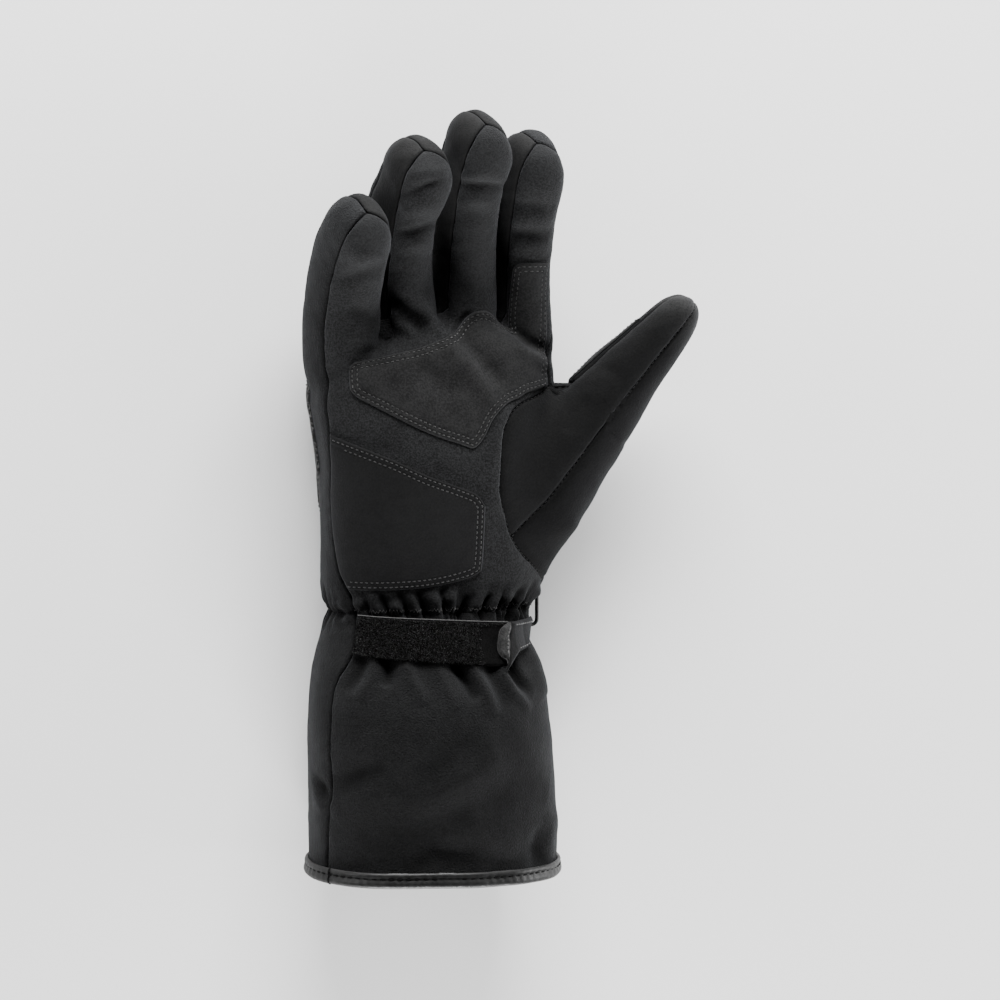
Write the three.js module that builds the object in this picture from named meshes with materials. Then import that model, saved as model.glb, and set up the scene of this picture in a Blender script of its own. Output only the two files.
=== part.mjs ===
// A right-hand winter motorcycle glove with a long gauntlet cuff, lying on its back with the palm up.
// Millimetres. +Y runs from the cuff to the fingertips, +X points to the thumb side, +Z is up out of the
// palm.
// The glove rests on z = 0: its back is pressed flat there, and the origin is on that flat face.
import * as THREE from "three";

// Driving dimensions
const WALL = 2.4; // shell with its padding
const SEAM_GAP = 0.5; // open line between two panels that are sewn together
const LIFT = 0.7; // air under a piece that lies on the shell
const PATCH_LIFT = 1.1; // air under the palm patch, which bridges the hollows at the roots of the fingers
const PATCH_WALL = 1.2; // palm and heel patches
const OVERLAY_WALL = 4.0; // padded piece over the back of the hand
const WRIST_Y = -43.6; // line where the palm ends and the cuff begins
const CUFF_END_Y = -147.4; // cut edge of the cuff, inside the binding
const HEM_Y = -149.6; // lowest line of the binding
// The hem falls to the thumb side: x where the fall begins, its slope, and y where the cuff starts to lean.
const HEM_SLANT = { from: -16, slope: 0.05, start: -96 };
const STRAP_WALL = 2.4;
const RING_WIRE = 1.7; // wire of the slide ring at the wrist

// Sections of the hand and cuff across Y: the middle of the section, its half sizes, and how square it is.
const HAND = [
  // y, middleX, middleZ, halfWidth, halfDepth, power
  [-156, -1.6, 33.5, 51.4, 36.5, 2.2],
  [-130, -1.9, 33.2, 51.4, 36.2, 2.2],
  [-100, -2.4, 32, 50.8, 35, 2.2],
  [-80, -2.75, 30, 49.35, 32.5, 2.2],
  [-66, -3.8, 28, 46.6, 30, 2.2],
  [-52, -3.2, 25.5, 42.7, 27.5, 2.3],
  [-44, -1.1, 24.5, 42.4, 26.5, 2.4],
  [-32, 0.7, 25, 46, 27, 2.5],
  [-10, 1.85, 26.5, 47.65, 27.5, 2.6],
  [15, 2.1, 27.5, 47.9, 26.5, 2.6],
  [35, 0.5, 27.3, 49.5, 25, 2.6],
  [52, -0.4, 26.5, 50.6, 23, 2.6],
  [75, -0.8, 26, 50.6, 21, 2.6],
];
// The rounded end of the hand under the fingers: y where it starts at the crown, how much lower it starts at
// reach from the crown, and how long the rounding is.
const KNUCKLE = { start: 56, drop: 14, crownX: 12, reach: 51, length: 18 };

// Fingers: root of the middle line, sideways lean, rise at the root and bend along the length in degrees,
// length of the middle line, and half width and half depth of the section at root and tip.
const FINGERS = [
  // name, rootX, rootY, rootZ, lean, rise, bend, length, widthRoot, widthTip, depthRoot, depthTip
  ["pinky", -39, 66, 29, 1.5, 11, 54, 65, 12, 11.4, 16.2, 14.4],
  ["ring", -13.3, 75, 28, -1.2, 8, 46, 77.5, 11.8, 11.7, 16.4, 15.4],
  ["middle", 12.1, 77, 27.5, -1.6, 6, 46, 86, 11.6, 10.9, 16.4, 15.8],
  ["index", 37, 75, 27, -3, 4, 44, 78.5, 11.4, 10.7, 16, 15.4],
];
const FINGER_ROLL = 23; // degrees that each section is turned about the middle line
const FINGER_CAP = 16; // length of the rounded fingertip
const FINGER_POWER = 2.3;

const THUMB = { root: [40, 5, 30], tip: [105.5, 81.5, 47], bend: 8, roll: -15, cap: 14, power: 2.2 };
const THUMB_SECTIONS = [
  // along, halfWidth, halfDepth
  [0, 28.5, 22],
  [20, 22.5, 20],
  [39, 17.5, 18],
  [61, 14.5, 16.5],
  [75, 12.3, 15.2],
  [90, 10.3, 14.5],
  [102, 9.9, 14],
];

// Height of the face that the glove rests on, under the shell: room for the binding and for the overlay.
const REST = [
  // y, height
  [-156, 2],
  [-72, 2],
  [-60, 2],
  [-38, 2.6],
  [-26, 4.7],
  [-18, 4.7],
  [80, 4.7],
];

// Seams around the hand, as angles about the section's middle: 0 is straight up out of the palm, 90 is the
// thumb side.
const SIDE_SEAM = [
  // y, degrees on the little-finger side
  [-156, -69.5],
  [-140, -68],
  [-103, -63],
  [-92, -64],
  [-76, -62.5],
  [-68, -58],
  [-63, -52.7],
  [-56, -49.2],
  [-44, -52.4],
  [-36, -54.2],
  [-26, -63],
  [-10, -69.5],
  [4, -73],
  [20, -70],
  [31, -66.3],
  [43, -65.2],
  [53, -64],
  [64, -60.5],
];
const THUMB_SIDE_SEAM = [
  // y, degrees; from 47 to -33 this is the edge of the palm round the root of the thumb
  [-156, 96],
  [-60, 94],
  [-44, 86],
  [-38, 76],
  [-33, 64],
  [-28, 51],
  [-21, 37],
  [-13.5, 29],
  [-5, 25],
  [4, 22],
  [14, 22],
  [26, 24],
  [35, 28.5],
  [40, 35],
  [42.5, 44],
  [45, 54],
  [47, 61],
  [54, 58],
  [64, 56],
];
const THUMB_BACK_SEAM = [
  // y, degrees; the same ring round the thumb, on the back of the hand
  [-33, 64],
  [-28, 86],
  [-21, 106],
  [-13.5, 119],
  [-5, 127],
  [4, 131],
  [14, 132],
  [26, 131],
  [35, 127],
  [40, 121],
  [42.5, 115],
  [45, 100],
  [47, 61],
];
const HAND_ROWS = [60, 54, 50, 47, 45, 42.5, 40, 35, 26, 14, 4, -5, -13.5, -21, -28, -33, -38, WRIST_Y];
const FIRST_THUMB_ROW = 47;
const LAST_THUMB_ROW = -33;

// Edges of the large palm patch, seen from above.
const PATCH_EDGE = [
  // x, lower y, upper y
  [-38.8, 46, 55.4],
  [-37, 43.6, 57],
  [-28, 38.6, 58.4],
  [-17, 32.8, 61],
  [-7, 28.2, 63.8],
  [2.5, 25, 67],
  [6.5, 23.6, 70.6],
  [9.5, 22.9, 74.6],
  [13.5, 26.6, 77],
  [18, 34.4, 77.2],
  [22, 38.6, 74.6],
  [25.5, 40.9, 71.2],
  [29.6, 42.4, 70],
  [33.5, 44.4, 70],
  [38, 45.4, 70],
  [42.6, 46.6, 70],
];
const PATCH_TONGUE_TOP = 96.6; // the patch's tongue up the front of the index finger
const PATCH_TONGUE = { columns: 4, leftTop: 29.6, rightTop: 41.4, rows: 5 };

// The heel patch, in angles from the side seam to its straight edge.
const HEEL = { inset: 3, edge: 14, shares: [0, 0.13, 0.26, 0.4, 0.54, 0.68, 0.82, 0.93, 1] };
const HEEL_TOP = [
  // share of the way from the seam, y
  [0, 29],
  [0.26, 24.3],
  [0.47, 19],
  [0.68, 12],
  [0.87, 7],
  [0.96, 4],
  [1, 0],
];
const HEEL_BOTTOM = [
  // share, y
  [0, -32.4],
  [0.6, -30.6],
  [0.93, -29.3],
  [1, -27.6],
];

// The wrist strap and the tab at its end: y of their edges, and the angles between which they lie.
const STRAP = { top: -45.1, drop: 1.2, bottomLeft: -60.2, bottomRight: -64.4, left: -49, right: 29 };
const TAB = { left: 32.5, right: 84, topLeft: -47.4, topRight: -44.6, bottomLeft: -67, bottomRight: -61 };
const RING = { y: -46.5, angle: 101, clear: 2.6, length: 14, width: 4.6 }; // slide ring beside the tab

// The padded piece over the back: y of its ends, the angles of its sides, and how its corners are cut.
const OVERLAY = {
  top: 50,
  bottom: -16,
  ulnar: -97,
  radial: -221,
  topCorner: { start: 0.75, depth: 4.5 }, // share of the half width where the corner starts, millimetres
  bottomCorner: { start: 0.35, y: 12 }, // share of the half width, y that the edge heads for
};

// The narrow patch along the thumb, on the side that faces the index finger.
const THUMB_PATCH = {
  start: 36, // along the thumb
  end: 91,
  width: 26, // degrees
  taper: 24, // length over which its foot widens from half
  gap: 4, // degrees between it and the seam
  wall: 1.4,
};

// Small vector tools
const rad = (d) => (d * Math.PI) / 180;
const mix = (a, b, t) => a + (b - a) * t;
const mix3 = (a, b, t) => [mix(a[0], b[0], t), mix(a[1], b[1], t), mix(a[2], b[2], t)];
const add = (a, b, k = 1) => [a[0] + b[0] * k, a[1] + b[1] * k, a[2] + b[2] * k];
const dot = (a, b) => a[0] * b[0] + a[1] * b[1] + a[2] * b[2];
const cross = (a, b) => [a[1] * b[2] - a[2] * b[1], a[2] * b[0] - a[0] * b[2], a[0] * b[1] - a[1] * b[0]];
const unit = (a) => add([0, 0, 0], a, 1 / Math.max(Math.hypot(...a), 1e-9));
const clamp = (x, lo, hi) => Math.min(Math.max(x, lo), hi);
const steps = (n, a, b) => Array.from({ length: n + 1 }, (_, i) => mix(a, b, i / n));

// A smooth curve through the rows of a table whose first column rises: returns the other columns at t.
function curve(table, t) {
  const last = table.length - 1;
  const at = clamp(t, table[0][0], table[last][0]);
  let i = 0;
  while (i < last - 1 && at >= table[i + 1][0]) i++;
  const [p, q] = [table[i], table[i + 1]];
  const [o, r] = [table[Math.max(i - 1, 0)], table[Math.min(i + 2, last)]];
  const h = q[0] - p[0],
    u = (at - p[0]) / h;
  return p.slice(1).map((v, k) => {
    const c = k + 1;
    const m0 = (q[c] - o[c]) / (q[0] - o[0]),
      m1 = (r[c] - p[c]) / (r[0] - p[0]);
    const values = (1 + 2 * u) * (1 - u) ** 2 * v + u * u * (3 - 2 * u) * q[c];
    const slopes = u * (1 - u) ** 2 * m0 + u * u * (u - 1) * m1;
    return values + h * slopes;
  });
}

// The outer surface of the shell, as one field that is 0 on it and negative inside
// Distance-like value of a section of power w with half sizes a, b and a third, end term e over length c.
function sectionField(x, a, z, b, e, c, w) {
  const size = ((Math.abs(x) / a) ** w + (Math.abs(z) / b) ** w + (e / c) ** w) ** (1 / w);
  return Math.hypot(x, z, e) * (1 - 1 / Math.max(size, 1e-3));
}

// A finger or thumb: a middle line that leaves its root straight and then bends up in a circle.
function makeDigit({ root, lean, rise, bend, length, cap, half, roll, back, power }) {
  const [l, q] = [rad(lean), rad(rise)];
  const ex = [Math.cos(l), -Math.sin(l), 0];
  const ey = [Math.sin(l) * Math.cos(q), Math.cos(l) * Math.cos(q), Math.sin(q)];
  const ez = cross(ex, ey);
  const radius = length / rad(bend);
  const [cr, sr] = [Math.cos(rad(roll)), Math.sin(rad(roll))];
  const local = (p) => {
    const d = add(p, root, -1);
    const [u, v, w] = [dot(d, ex), dot(d, ey), dot(d, ez)];
    const along = v < 0 ? v : radius * Math.atan2(v, radius - w);
    const up = v < 0 ? w : radius - Math.hypot(v, radius - w);
    return [along, u * cr - up * sr, u * sr + up * cr];
  };
  const field = (p) => {
    const [s, x, z] = local(p);
    const [a, b] = half(s);
    const e = Math.max(s - (length - cap), 0) + Math.max(-s - back[0], 0) * (cap / back[1]);
    return sectionField(x, a, z, b, e, cap, power);
  };
  // The point at length s along the middle line and angle th round it; 0 is up, 90 the thumb side.
  const point = (s, th) => {
    const [a, b] = half(s);
    const k = (1 - clamp((s - (length - cap)) / cap, 0, 1) ** power) ** (1 / power);
    const [sn, cs] = [Math.sin(rad(th)), Math.cos(rad(th))];
    const r = k * (Math.abs(sn) ** power + Math.abs(cs) ** power) ** (-1 / power);
    const [x, z] = [a * sn * r, b * cs * r];
    const u = x * cr + z * sr,
      up = -x * sr + z * cr;
    const turn = Math.max(s, 0) / radius;
    const v = s < 0 ? s : (radius - up) * Math.sin(turn),
      w = s < 0 ? up : radius - (radius - up) * Math.cos(turn);
    return add(add(add(root, ex, u), ey, v), ez, w);
  };
  const angle = (p) => {
    const [s, x, z] = local(p);
    const [a, b] = half(s);
    return (Math.atan2(x / a, z / b) * 180) / Math.PI;
  };
  return { field, point, angle, length, cap, along: (p) => local(p)[0] };
}

const digits = FINGERS.map(([, x, y, z, lean, rise, bend, length, a0, a1, b0, b1]) =>
  makeDigit({
    root: [x, y, z],
    lean,
    rise,
    bend,
    length,
    cap: FINGER_CAP,
    half: (s) => [mix(a0, a1, clamp(s / length, 0, 1)), mix(b0, b1, clamp(s / length, 0, 1))],
    roll: FINGER_ROLL,
    back: [4, 24],
    power: FINGER_POWER,
  }),
);
const thumbRun = add(THUMB.tip, THUMB.root, -1);
const thumb = makeDigit({
  root: THUMB.root,
  lean: (Math.atan2(thumbRun[0], thumbRun[1]) * 180) / Math.PI,
  rise: (Math.asin(thumbRun[2] / Math.hypot(...thumbRun)) * 180) / Math.PI - THUMB.bend / 2,
  bend: THUMB.bend,
  length: Math.hypot(...thumbRun),
  cap: THUMB.cap,
  half: (s) => curve(THUMB_SECTIONS, s),
  roll: THUMB.roll,
  back: [0, 24],
  power: THUMB.power,
});

function handField(p) {
  const [mx, mz, a, b, w] = curve(HAND, p[1]);
  const end = KNUCKLE.start - KNUCKLE.drop * ((p[0] - KNUCKLE.crownX) / KNUCKLE.reach) ** 2;
  return sectionField(p[0] - mx, a, p[2] - mz, b, Math.max(p[1] - end, 0), KNUCKLE.length, w);
}

// The smaller of two fields with a fillet of about k where they meet.
function blend(a, b, k) {
  const h = Math.max(k - Math.abs(a - b), 0) / k;
  return Math.min(a, b) - (h * h * k) / 4;
}

// Swellings and dents that bring the root and tip of the thumb to the outline in the photograph: the
// centre, how far the cloth stands out there, and the radius
const SWELLINGS = [
  [[61, -13, 38], -2.5, 9.5],
  [[47.5, -24, 36.5], 1.7, 7.5],
  [[78, 21, 40], 1.9, 13],
  [[101, 80, 55], 1.3, 7],
  [[107, 70, 49.5], -0.9, 7],
];
function swelling(p) {
  let sum = 0;
  for (const [centre, height, radius] of SWELLINGS) {
    const d = add(p, centre, -1);
    sum += height * Math.exp(-dot(d, d) / radius ** 2);
  }
  return sum;
}

function shell(p) {
  const hand = blend(handField(p), thumb.field(p), 6) - swelling(p);
  const all = blend(hand, Math.min(...digits.map((d) => d.field(p))), 6);
  return -blend(-all, p[2] - curve(REST, p[1])[0], 1.5);
}

function slope(p) {
  const h = 0.02;
  return [0, 1, 2].map((i) => {
    const d = [0, 0, 0];
    d[i] = h;
    return (shell(add(p, d)) - shell(add(p, d, -1))) / (2 * h);
  });
}
const outward = (p) => unit(slope(p));

// The nearest point of the shell, by a few steps down the field.
function settle(p) {
  let q = p;
  for (let i = 0; i < 8; i++) {
    const g = slope(q);
    q = add(q, g, -shell(q) / Math.max(dot(g, g), 1e-6));
  }
  return q;
}

// Where a straight line from a, inside, towards b first leaves the shell.
const LEAVE_STEPS = 48;
function leave(a, b) {
  let step = 1;
  while (step < LEAVE_STEPS && shell(mix3(a, b, step / LEAVE_STEPS)) < 0) step++;
  let [lo, hi] = [(step - 1) / LEAVE_STEPS, step / LEAVE_STEPS];
  for (let i = 0; i < 30; i++) {
    const m = (lo + hi) / 2;
    if (shell(mix3(a, b, m)) < 0) lo = m;
    else hi = m;
  }
  return mix3(a, b, hi);
}

// The point of the hand or cuff at y and at an angle round the section.
function handPoint(y, degrees) {
  const [mx, mz, a, b] = curve(HAND, y);
  const far = [mx + 1.7 * a * Math.sin(rad(degrees)), y, mz + 1.7 * b * Math.cos(rad(degrees))];
  return leave([mx, y, mz], far);
}
const handAngle = (p) => {
  const [mx, mz, a, b] = curve(HAND, p[1]);
  return (Math.atan2((p[0] - mx) / a, (p[2] - mz) / b) * 180) / Math.PI;
};

// Panels: sheets of four-cornered cells, given a thickness
const panels = new Map();
const panel = (name) => panels.get(name) ?? panels.set(name, []).get(name);

// Cells of a grid of points, rows by columns; owner(row, column) names the panel of each cell. The whole
// grid is turned one way or the other, so that its cells look outward.
function addGrid(grid, owner) {
  const cells = [];
  for (let i = 0; i + 1 < grid.length; i++)
    for (let j = 0; j + 1 < grid[i].length; j++)
      cells.push([owner(i, j), [grid[i][j], grid[i][j + 1], grid[i + 1][j + 1], grid[i + 1][j]]]);
  const facing = cells.reduce((sum, [, [a, b, c, d]]) => {
    const middle = mix3(mix3(a, b, 0.5), mix3(c, d, 0.5), 0.5);
    return sum + dot(cross(add(c, a, -1), add(d, b, -1)), outward(middle));
  }, 0);
  for (const [name, cell] of cells) panel(name).push(facing < 0 ? cell.reverse() : cell);
}

// A closed body from cells that share corners. The cells' corners lie on the shell; the body reaches from
// inner to outer along the outward direction, its outline is drawn in by inset, and nothing is below z = 0.
function thicken(cells, { inner, outer, inset }) {
  const points = [];
  const index = new Map();
  const id = (p) => {
    const key = p.map((v) => Math.round(v * 1e4)).join();
    if (!index.has(key)) index.set(key, points.push(p) - 1);
    return index.get(key);
  };
  const faces = [];
  for (const cell of cells) {
    const f = cell.map(id).filter((v, i, all) => all.indexOf(v) === i);
    if (f.length < 3) continue;
    faces.push(f);
  }
  const normals = points.map(outward);
  const edges = new Map();
  for (const f of faces)
    f.forEach((v, i) => {
      const w = f[(i + 1) % f.length];
      if (edges.has(w + "_" + v)) edges.delete(w + "_" + v);
      else edges.set(v + "_" + w, [v, w]);
    });
  // Draw the outline in, square to its own edges and along the surface.
  const pull = new Map();
  for (const [v, w] of edges.values())
    for (const k of [v, w]) {
      const inwards = unit(cross(normals[k], add(points[w], points[v], -1)));
      pull.set(k, [...(pull.get(k) ?? []), inwards]);
    }
  const moved = points.map((p, k) => {
    const d = pull.get(k);
    if (!d) return p;
    const sum = d.reduce((s, n) => add(s, n), [0, 0, 0]);
    return add(p, sum, inset / Math.max(dot(sum, sum) / d.length, 0.35));
  });
  const position = [];
  const put = (k, offset) => {
    const p = add(moved[k], normals[k], offset);
    return [p[0], p[1], Math.max(p[2], outer - offset)];
  };
  const top = points.map((_, k) => put(k, outer)),
    bottom = points.map((_, k) => put(k, inner));
  const tri = (a, b, c) => position.push(...a, ...b, ...c);
  for (const f of faces)
    for (let i = 1; i + 1 < f.length; i++) {
      tri(top[f[0]], top[f[i]], top[f[i + 1]]);
      tri(bottom[f[0]], bottom[f[i + 1]], bottom[f[i]]);
    }
  for (const [v, w] of edges.values()) {
    tri(top[v], bottom[v], bottom[w]);
    tri(top[v], bottom[w], top[w]);
  }
  return new THREE.BufferGeometry().setAttribute("position", new THREE.Float32BufferAttribute(position, 3));
}

// Fingers: rings of cells, shared out between the front, the back and the strips between the fingers
const CELLS_AROUND = 14;
const FRONT = [-75, -46, -17.5, 11, 40];
const RIGHT = [40, 70, 100, 130];
const BACK = [130, 155, 180, 205, 230];
const LEFT = [230, 248, 266, 285];
const AROUND = [...FRONT, ...RIGHT.slice(1), ...BACK.slice(1), ...LEFT.slice(1)];
const FINGER_START = 3;
const TIP_ANGLES = [25, 48, 68, 90];
const BACK_END = 6; // row where the back panel ends and the fingertip begins
const strips = ["fourchette_ring_pinky", "fourchette_middle_ring", "fourchette_index_middle"];

const capStations = (digit, angles) => angles.map((t) => digit.length - digit.cap * (1 - Math.sin(rad(t))));
const fingerGrids = digits.map((digit, k) => {
  const straight = digit.length - digit.cap;
  const along = [...steps(BACK_END - 1, FINGER_START, straight), ...capStations(digit, TIP_ANGLES)];
  const grid = along.map((s) =>
    AROUND.slice(0, -1).map((th) => {
      if (s > digit.length - 1e-6) return digit.point(digit.length, 0);
      const besideFinger = (th > RIGHT[0] && th < BACK[0] && k < 3) || (th > LEFT[0] && k > 0);
      return besideFinger ? digit.point(s, th) : settle(digit.point(s, th));
    }),
  );
  return grid.map((row) => [...row, row[0]]);
});

const fingerNames = FINGERS.map(([name]) => name);
fingerGrids.forEach((grid, k) => {
  const front = fingerNames[k] + "_front",
    back = fingerNames[k] + "_back";
  const right = strips[k] ?? back;
  const left = strips[k - 1] ?? back;
  addGrid(grid, (i, j) => {
    if (j < 4) return front;
    if (j < 7) return right;
    if (j < 11) return i < BACK_END ? back : j < 9 ? right : left;
    return left;
  });
});

// The bottoms of the slits between the fingers.
const slits = [0, 1, 2].map((k) => {
  const a = [4, 5, 6, 7].map((j) => fingerGrids[k][0][j]);
  const b = [14, 13, 12, 11].map((j) => fingerGrids[k + 1][0][j]);
  const middle = a.map((p, v) => {
    const q = b[v];
    const z = (p[2] + q[2]) / 2;
    const y = Math.max(p[1], q[1]);
    let [lo, hi] = [p[0] - 1, q[0] + 1];
    for (let i = 0; i < 30; i++) {
      const x = (lo + hi) / 2;
      if (digits[k].field([x, y, z]) < digits[k + 1].field([x, y, z])) lo = x;
      else hi = x;
    }
    const bottom = leave([hi, 58, z], [hi, y + 8, z]);
    return [hi, Math.min(bottom[1], Math.min(p[1], q[1]) - 0.8), z];
  });
  addGrid([a, middle, b], () => strips[k]);
  return middle;
});

// Palm and back of the hand
const fingerEdge = (k, from, to) => {
  const row = fingerGrids[k][0];
  const out = [];
  for (let j = from; from < to ? j <= to : j >= to; j += from < to ? 1 : -1) out.push(row[(j + CELLS_AROUND) % CELLS_AROUND]);
  return out;
};
const palmTop = [
  ...fingerEdge(0, 0, 4),
  slits[0][0],
  ...fingerEdge(1, 0, 4),
  slits[1][0],
  ...fingerEdge(2, 0, 4),
  slits[2][0],
  ...fingerEdge(3, 0, 4),
];
const backTop = [
  ...fingerEdge(0, 14, 7),
  slits[0][3],
  ...fingerEdge(1, 11, 7),
  slits[1][3],
  ...fingerEdge(2, 11, 7),
  slits[2][3],
  ...fingerEdge(3, 11, 4),
];

// Rows from the roots of the fingers down to the wrist. Each column has its share of the way between the
// seams: at first as it leaves the fingers, then more evenly.
const LEAST_TURN = 2; // degrees between two columns
const EVEN = { from: 60, to: 35, most: 0.8 }; // y where the columns begin to even out and are done, how far
function handRows(top, leftSeam, rightSeam, sign) {
  const angles = top.map(handAngle);
  const turned = [0];
  for (let c = 1; c < angles.length; c++) {
    const d = (((angles[c] - angles[c - 1]) * sign + 540) % 360) - 180;
    turned.push(turned[c - 1] + Math.max(d, LEAST_TURN));
  }
  const share = turned.map((a) => a / turned[turned.length - 1]);
  const at = (y, c) => {
    const even = EVEN.most * clamp((EVEN.from - y) / (EVEN.from - EVEN.to), 0, 1);
    return handPoint(y, mix(leftSeam(y), rightSeam(y), mix(share[c], c / (share.length - 1), even)));
  };
  const rows = [top];
  for (const t of [0.25, 0.5, 0.75]) rows.push(top.map((p, c) => settle(mix3(p, at(HAND_ROWS[0], c), t))));
  for (const y of HAND_ROWS) rows.push(top.map((_, c) => at(y, c)));
  return rows;
}
const sideSeam = (y) => curve(SIDE_SEAM, y)[0];
const thumbSide = (y) => curve(THUMB_SIDE_SEAM, y)[0];
const besideThumb = (y) => y < FIRST_THUMB_ROW && y > LAST_THUMB_ROW;
const thumbBack = (y) => (besideThumb(y) ? curve(THUMB_BACK_SEAM, y)[0] : thumbSide(y));
const palmRows = handRows(palmTop, sideSeam, thumbSide, 1);
const backRows = handRows(backTop, sideSeam, (y) => thumbBack(y) - 360, -1);
addGrid(palmRows, () => "palm_panel");
addGrid(backRows, () => "back_panel");

// Thumb: from the ring round its root to the tip
const rowAt = (y) => palmRows.length - HAND_ROWS.length + HAND_ROWS.indexOf(y);
const firstThumbRow = rowAt(FIRST_THUMB_ROW),
  lastThumbRow = rowAt(LAST_THUMB_ROW);
const root = [];
for (let r = firstThumbRow; r <= lastThumbRow; r++) root.push(palmRows[r][palmTop.length - 1]);
for (let r = lastThumbRow - 1; r > firstThumbRow; r--) root.push(backRows[r][backTop.length - 1]);
const SPLIT = 9; // column of the root ring where the seam along the front of the thumb begins
const THUMB_SEAM = { edge: -56, front: 22 }; // degrees round the thumb
const rootAngles = [];
root.forEach((p, j) => {
  let a = thumb.angle(p);
  if (j) while (a < rootAngles[j - 1] - 60) a += 360;
  rootAngles.push(a);
});
const targetAngles = root.map((_, j) =>
  j <= SPLIT
    ? mix(THUMB_SEAM.edge, THUMB_SEAM.front, j / SPLIT)
    : mix(THUMB_SEAM.front, THUMB_SEAM.edge + 360, (j - SPLIT) / (root.length - SPLIT)),
);
const thumbStraight = thumb.length - thumb.cap;
const FULL = 46; // along the thumb: from here on the rings are square to the middle line
const THUMB_TIP_ANGLES = [28, 55, 90];
const thumbGrid = [root];
for (const t of [0.22, 0.45, 0.7])
  thumbGrid.push(
    root.map((p, j) => {
      const s0 = thumb.along(p);
      const s = mix(s0, FULL, t),
        th = mix(rootAngles[j], targetAngles[j], t);
      const offset = add(p, thumb.point(s0, rootAngles[j]), -1);
      return settle(add(thumb.point(s, th), offset, (1 - t) ** 2));
    }),
  );
const thumbPole = thumb.point(thumb.length, 0);
const beforePole = (s) => s < thumb.length - 1e-6;
for (const s of [...steps(4, FULL, thumbStraight), ...capStations(thumb, THUMB_TIP_ANGLES)])
  thumbGrid.push(targetAngles.map((th) => (beforePole(s) ? settle(thumb.point(s, th)) : thumbPole)));
addGrid(
  thumbGrid.map((row) => [...row, row[0]]),
  (i, j) => (j < SPLIT ? "thumb_palm_panel" : "thumb_outer_panel"),
);

// Cuff, whose end falls away to the thumb side
const cuffRows = [WRIST_Y - 0.6, -50, -57, -66, -80, -96, -113, -130, CUFF_END_Y];
const hemDrop = (x) => HEM_SLANT.slope * Math.max(x - HEM_SLANT.from, 0);
const slantShare = (y) => clamp((HEM_SLANT.start - y) / (HEM_SLANT.start - CUFF_END_Y), 0, 1);
const cuffPoint = (y, a) => handPoint(y - slantShare(y) * hemDrop(handPoint(y, a)[0]), a);
const cuffGrid = (from, to, n) => cuffRows.map((y) => steps(n, from(y), to(y)).map((a) => cuffPoint(y, a)));
addGrid(cuffGrid(sideSeam, thumbSide, 16), () => "cuff_palm_panel");
addGrid(cuffGrid(thumbSide, (y) => sideSeam(y) + 360, 20), () => "cuff_back_panel");

// Pieces that lie on the shell
// The palm patch, in rows between its two edges, with a tongue up the index finger.
const LOOK = { from: 33, to: 95 }; // heights inside the hand and well above it
const above = (x, y) => leave([x, y, LOOK.from], [x, y, LOOK.to]);
const patchGrid = PATCH_EDGE.map(([x, low, high]) => steps(6, low, high).map((y) => above(x, y)));
addGrid(patchGrid, () => "palm_patch");
const tongueFrom = PATCH_EDGE.slice(-PATCH_TONGUE.columns);
const tongue = tongueFrom.map(([x, , y0], c) =>
  steps(PATCH_TONGUE.rows, 0, 1).map((t) => {
    const y = mix(y0, PATCH_TONGUE_TOP, t);
    const end = mix(PATCH_TONGUE.leftTop, PATCH_TONGUE.rightTop, c / (tongueFrom.length - 1));
    return t === 0 ? patchGrid[PATCH_EDGE.length - PATCH_TONGUE.columns + c][6] : above(mix(x, end, t), y);
  }),
);
addGrid(tongue, () => "palm_patch");

// A piece between two edges that run round the hand: one column for each share t of the way across it.
function addRoundPiece(name, shares, cells, low, high, angle) {
  const column = (t) => steps(cells, low(t), high(t)).map((y) => handPoint(y, angle(t, y)));
  addGrid(shares.map(column), () => name);
}

addRoundPiece(
  "heel_patch",
  HEEL.shares,
  8,
  (t) => curve(HEEL_BOTTOM, t)[0],
  (t) => curve(HEEL_TOP, t)[0],
  (t, y) => mix(sideSeam(y) + HEEL.inset, HEEL.edge, t),
);
addRoundPiece(
  "wrist_strap",
  steps(12, 0, 1),
  3,
  (t) => STRAP.top - STRAP.drop * t,
  (t) => mix(STRAP.bottomLeft, STRAP.bottomRight, t) - STRAP.drop * t,
  (t) => mix(STRAP.left, STRAP.right, t),
);
addRoundPiece(
  "strap_tab",
  steps(5, 0, 1),
  3,
  (t) => mix(TAB.topLeft, TAB.topRight, t),
  (t) => mix(TAB.bottomLeft, TAB.bottomRight, t),
  (t) => mix(TAB.left, TAB.right, t),
);

// The overlay on the back of the hand, with its corners cut to a rounded end.
const sideShare = (t) => Math.abs(2 * t - 1);
addRoundPiece(
  "knuckle_overlay",
  steps(16, 0, 1),
  8,
  (t) => {
    const { start, y } = OVERLAY.bottomCorner;
    return mix(OVERLAY.bottom, y, Math.max((sideShare(t) - start) / (1 - start), 0) ** 1.6);
  },
  (t) => {
    const { start, depth } = OVERLAY.topCorner;
    return OVERLAY.top - depth * Math.max((sideShare(t) - start) / (1 - start), 0) ** 2;
  },
  (t) => mix(OVERLAY.ulnar, OVERLAY.radial, t),
);

// A narrow patch along the side of the thumb that faces the index finger.
const thumbPatchRow = (s) => {
  const wide = THUMB_PATCH.width * Math.min(1, 0.5 + (s - THUMB_PATCH.start) / THUMB_PATCH.taper);
  const edge = THUMB_SEAM.edge - THUMB_PATCH.gap;
  return steps(3, edge - wide, edge).map((th) => settle(thumb.point(s, th)));
};
addGrid(steps(7, THUMB_PATCH.start, THUMB_PATCH.end).map(thumbPatchRow), () => "thumb_edge_patch");

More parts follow.
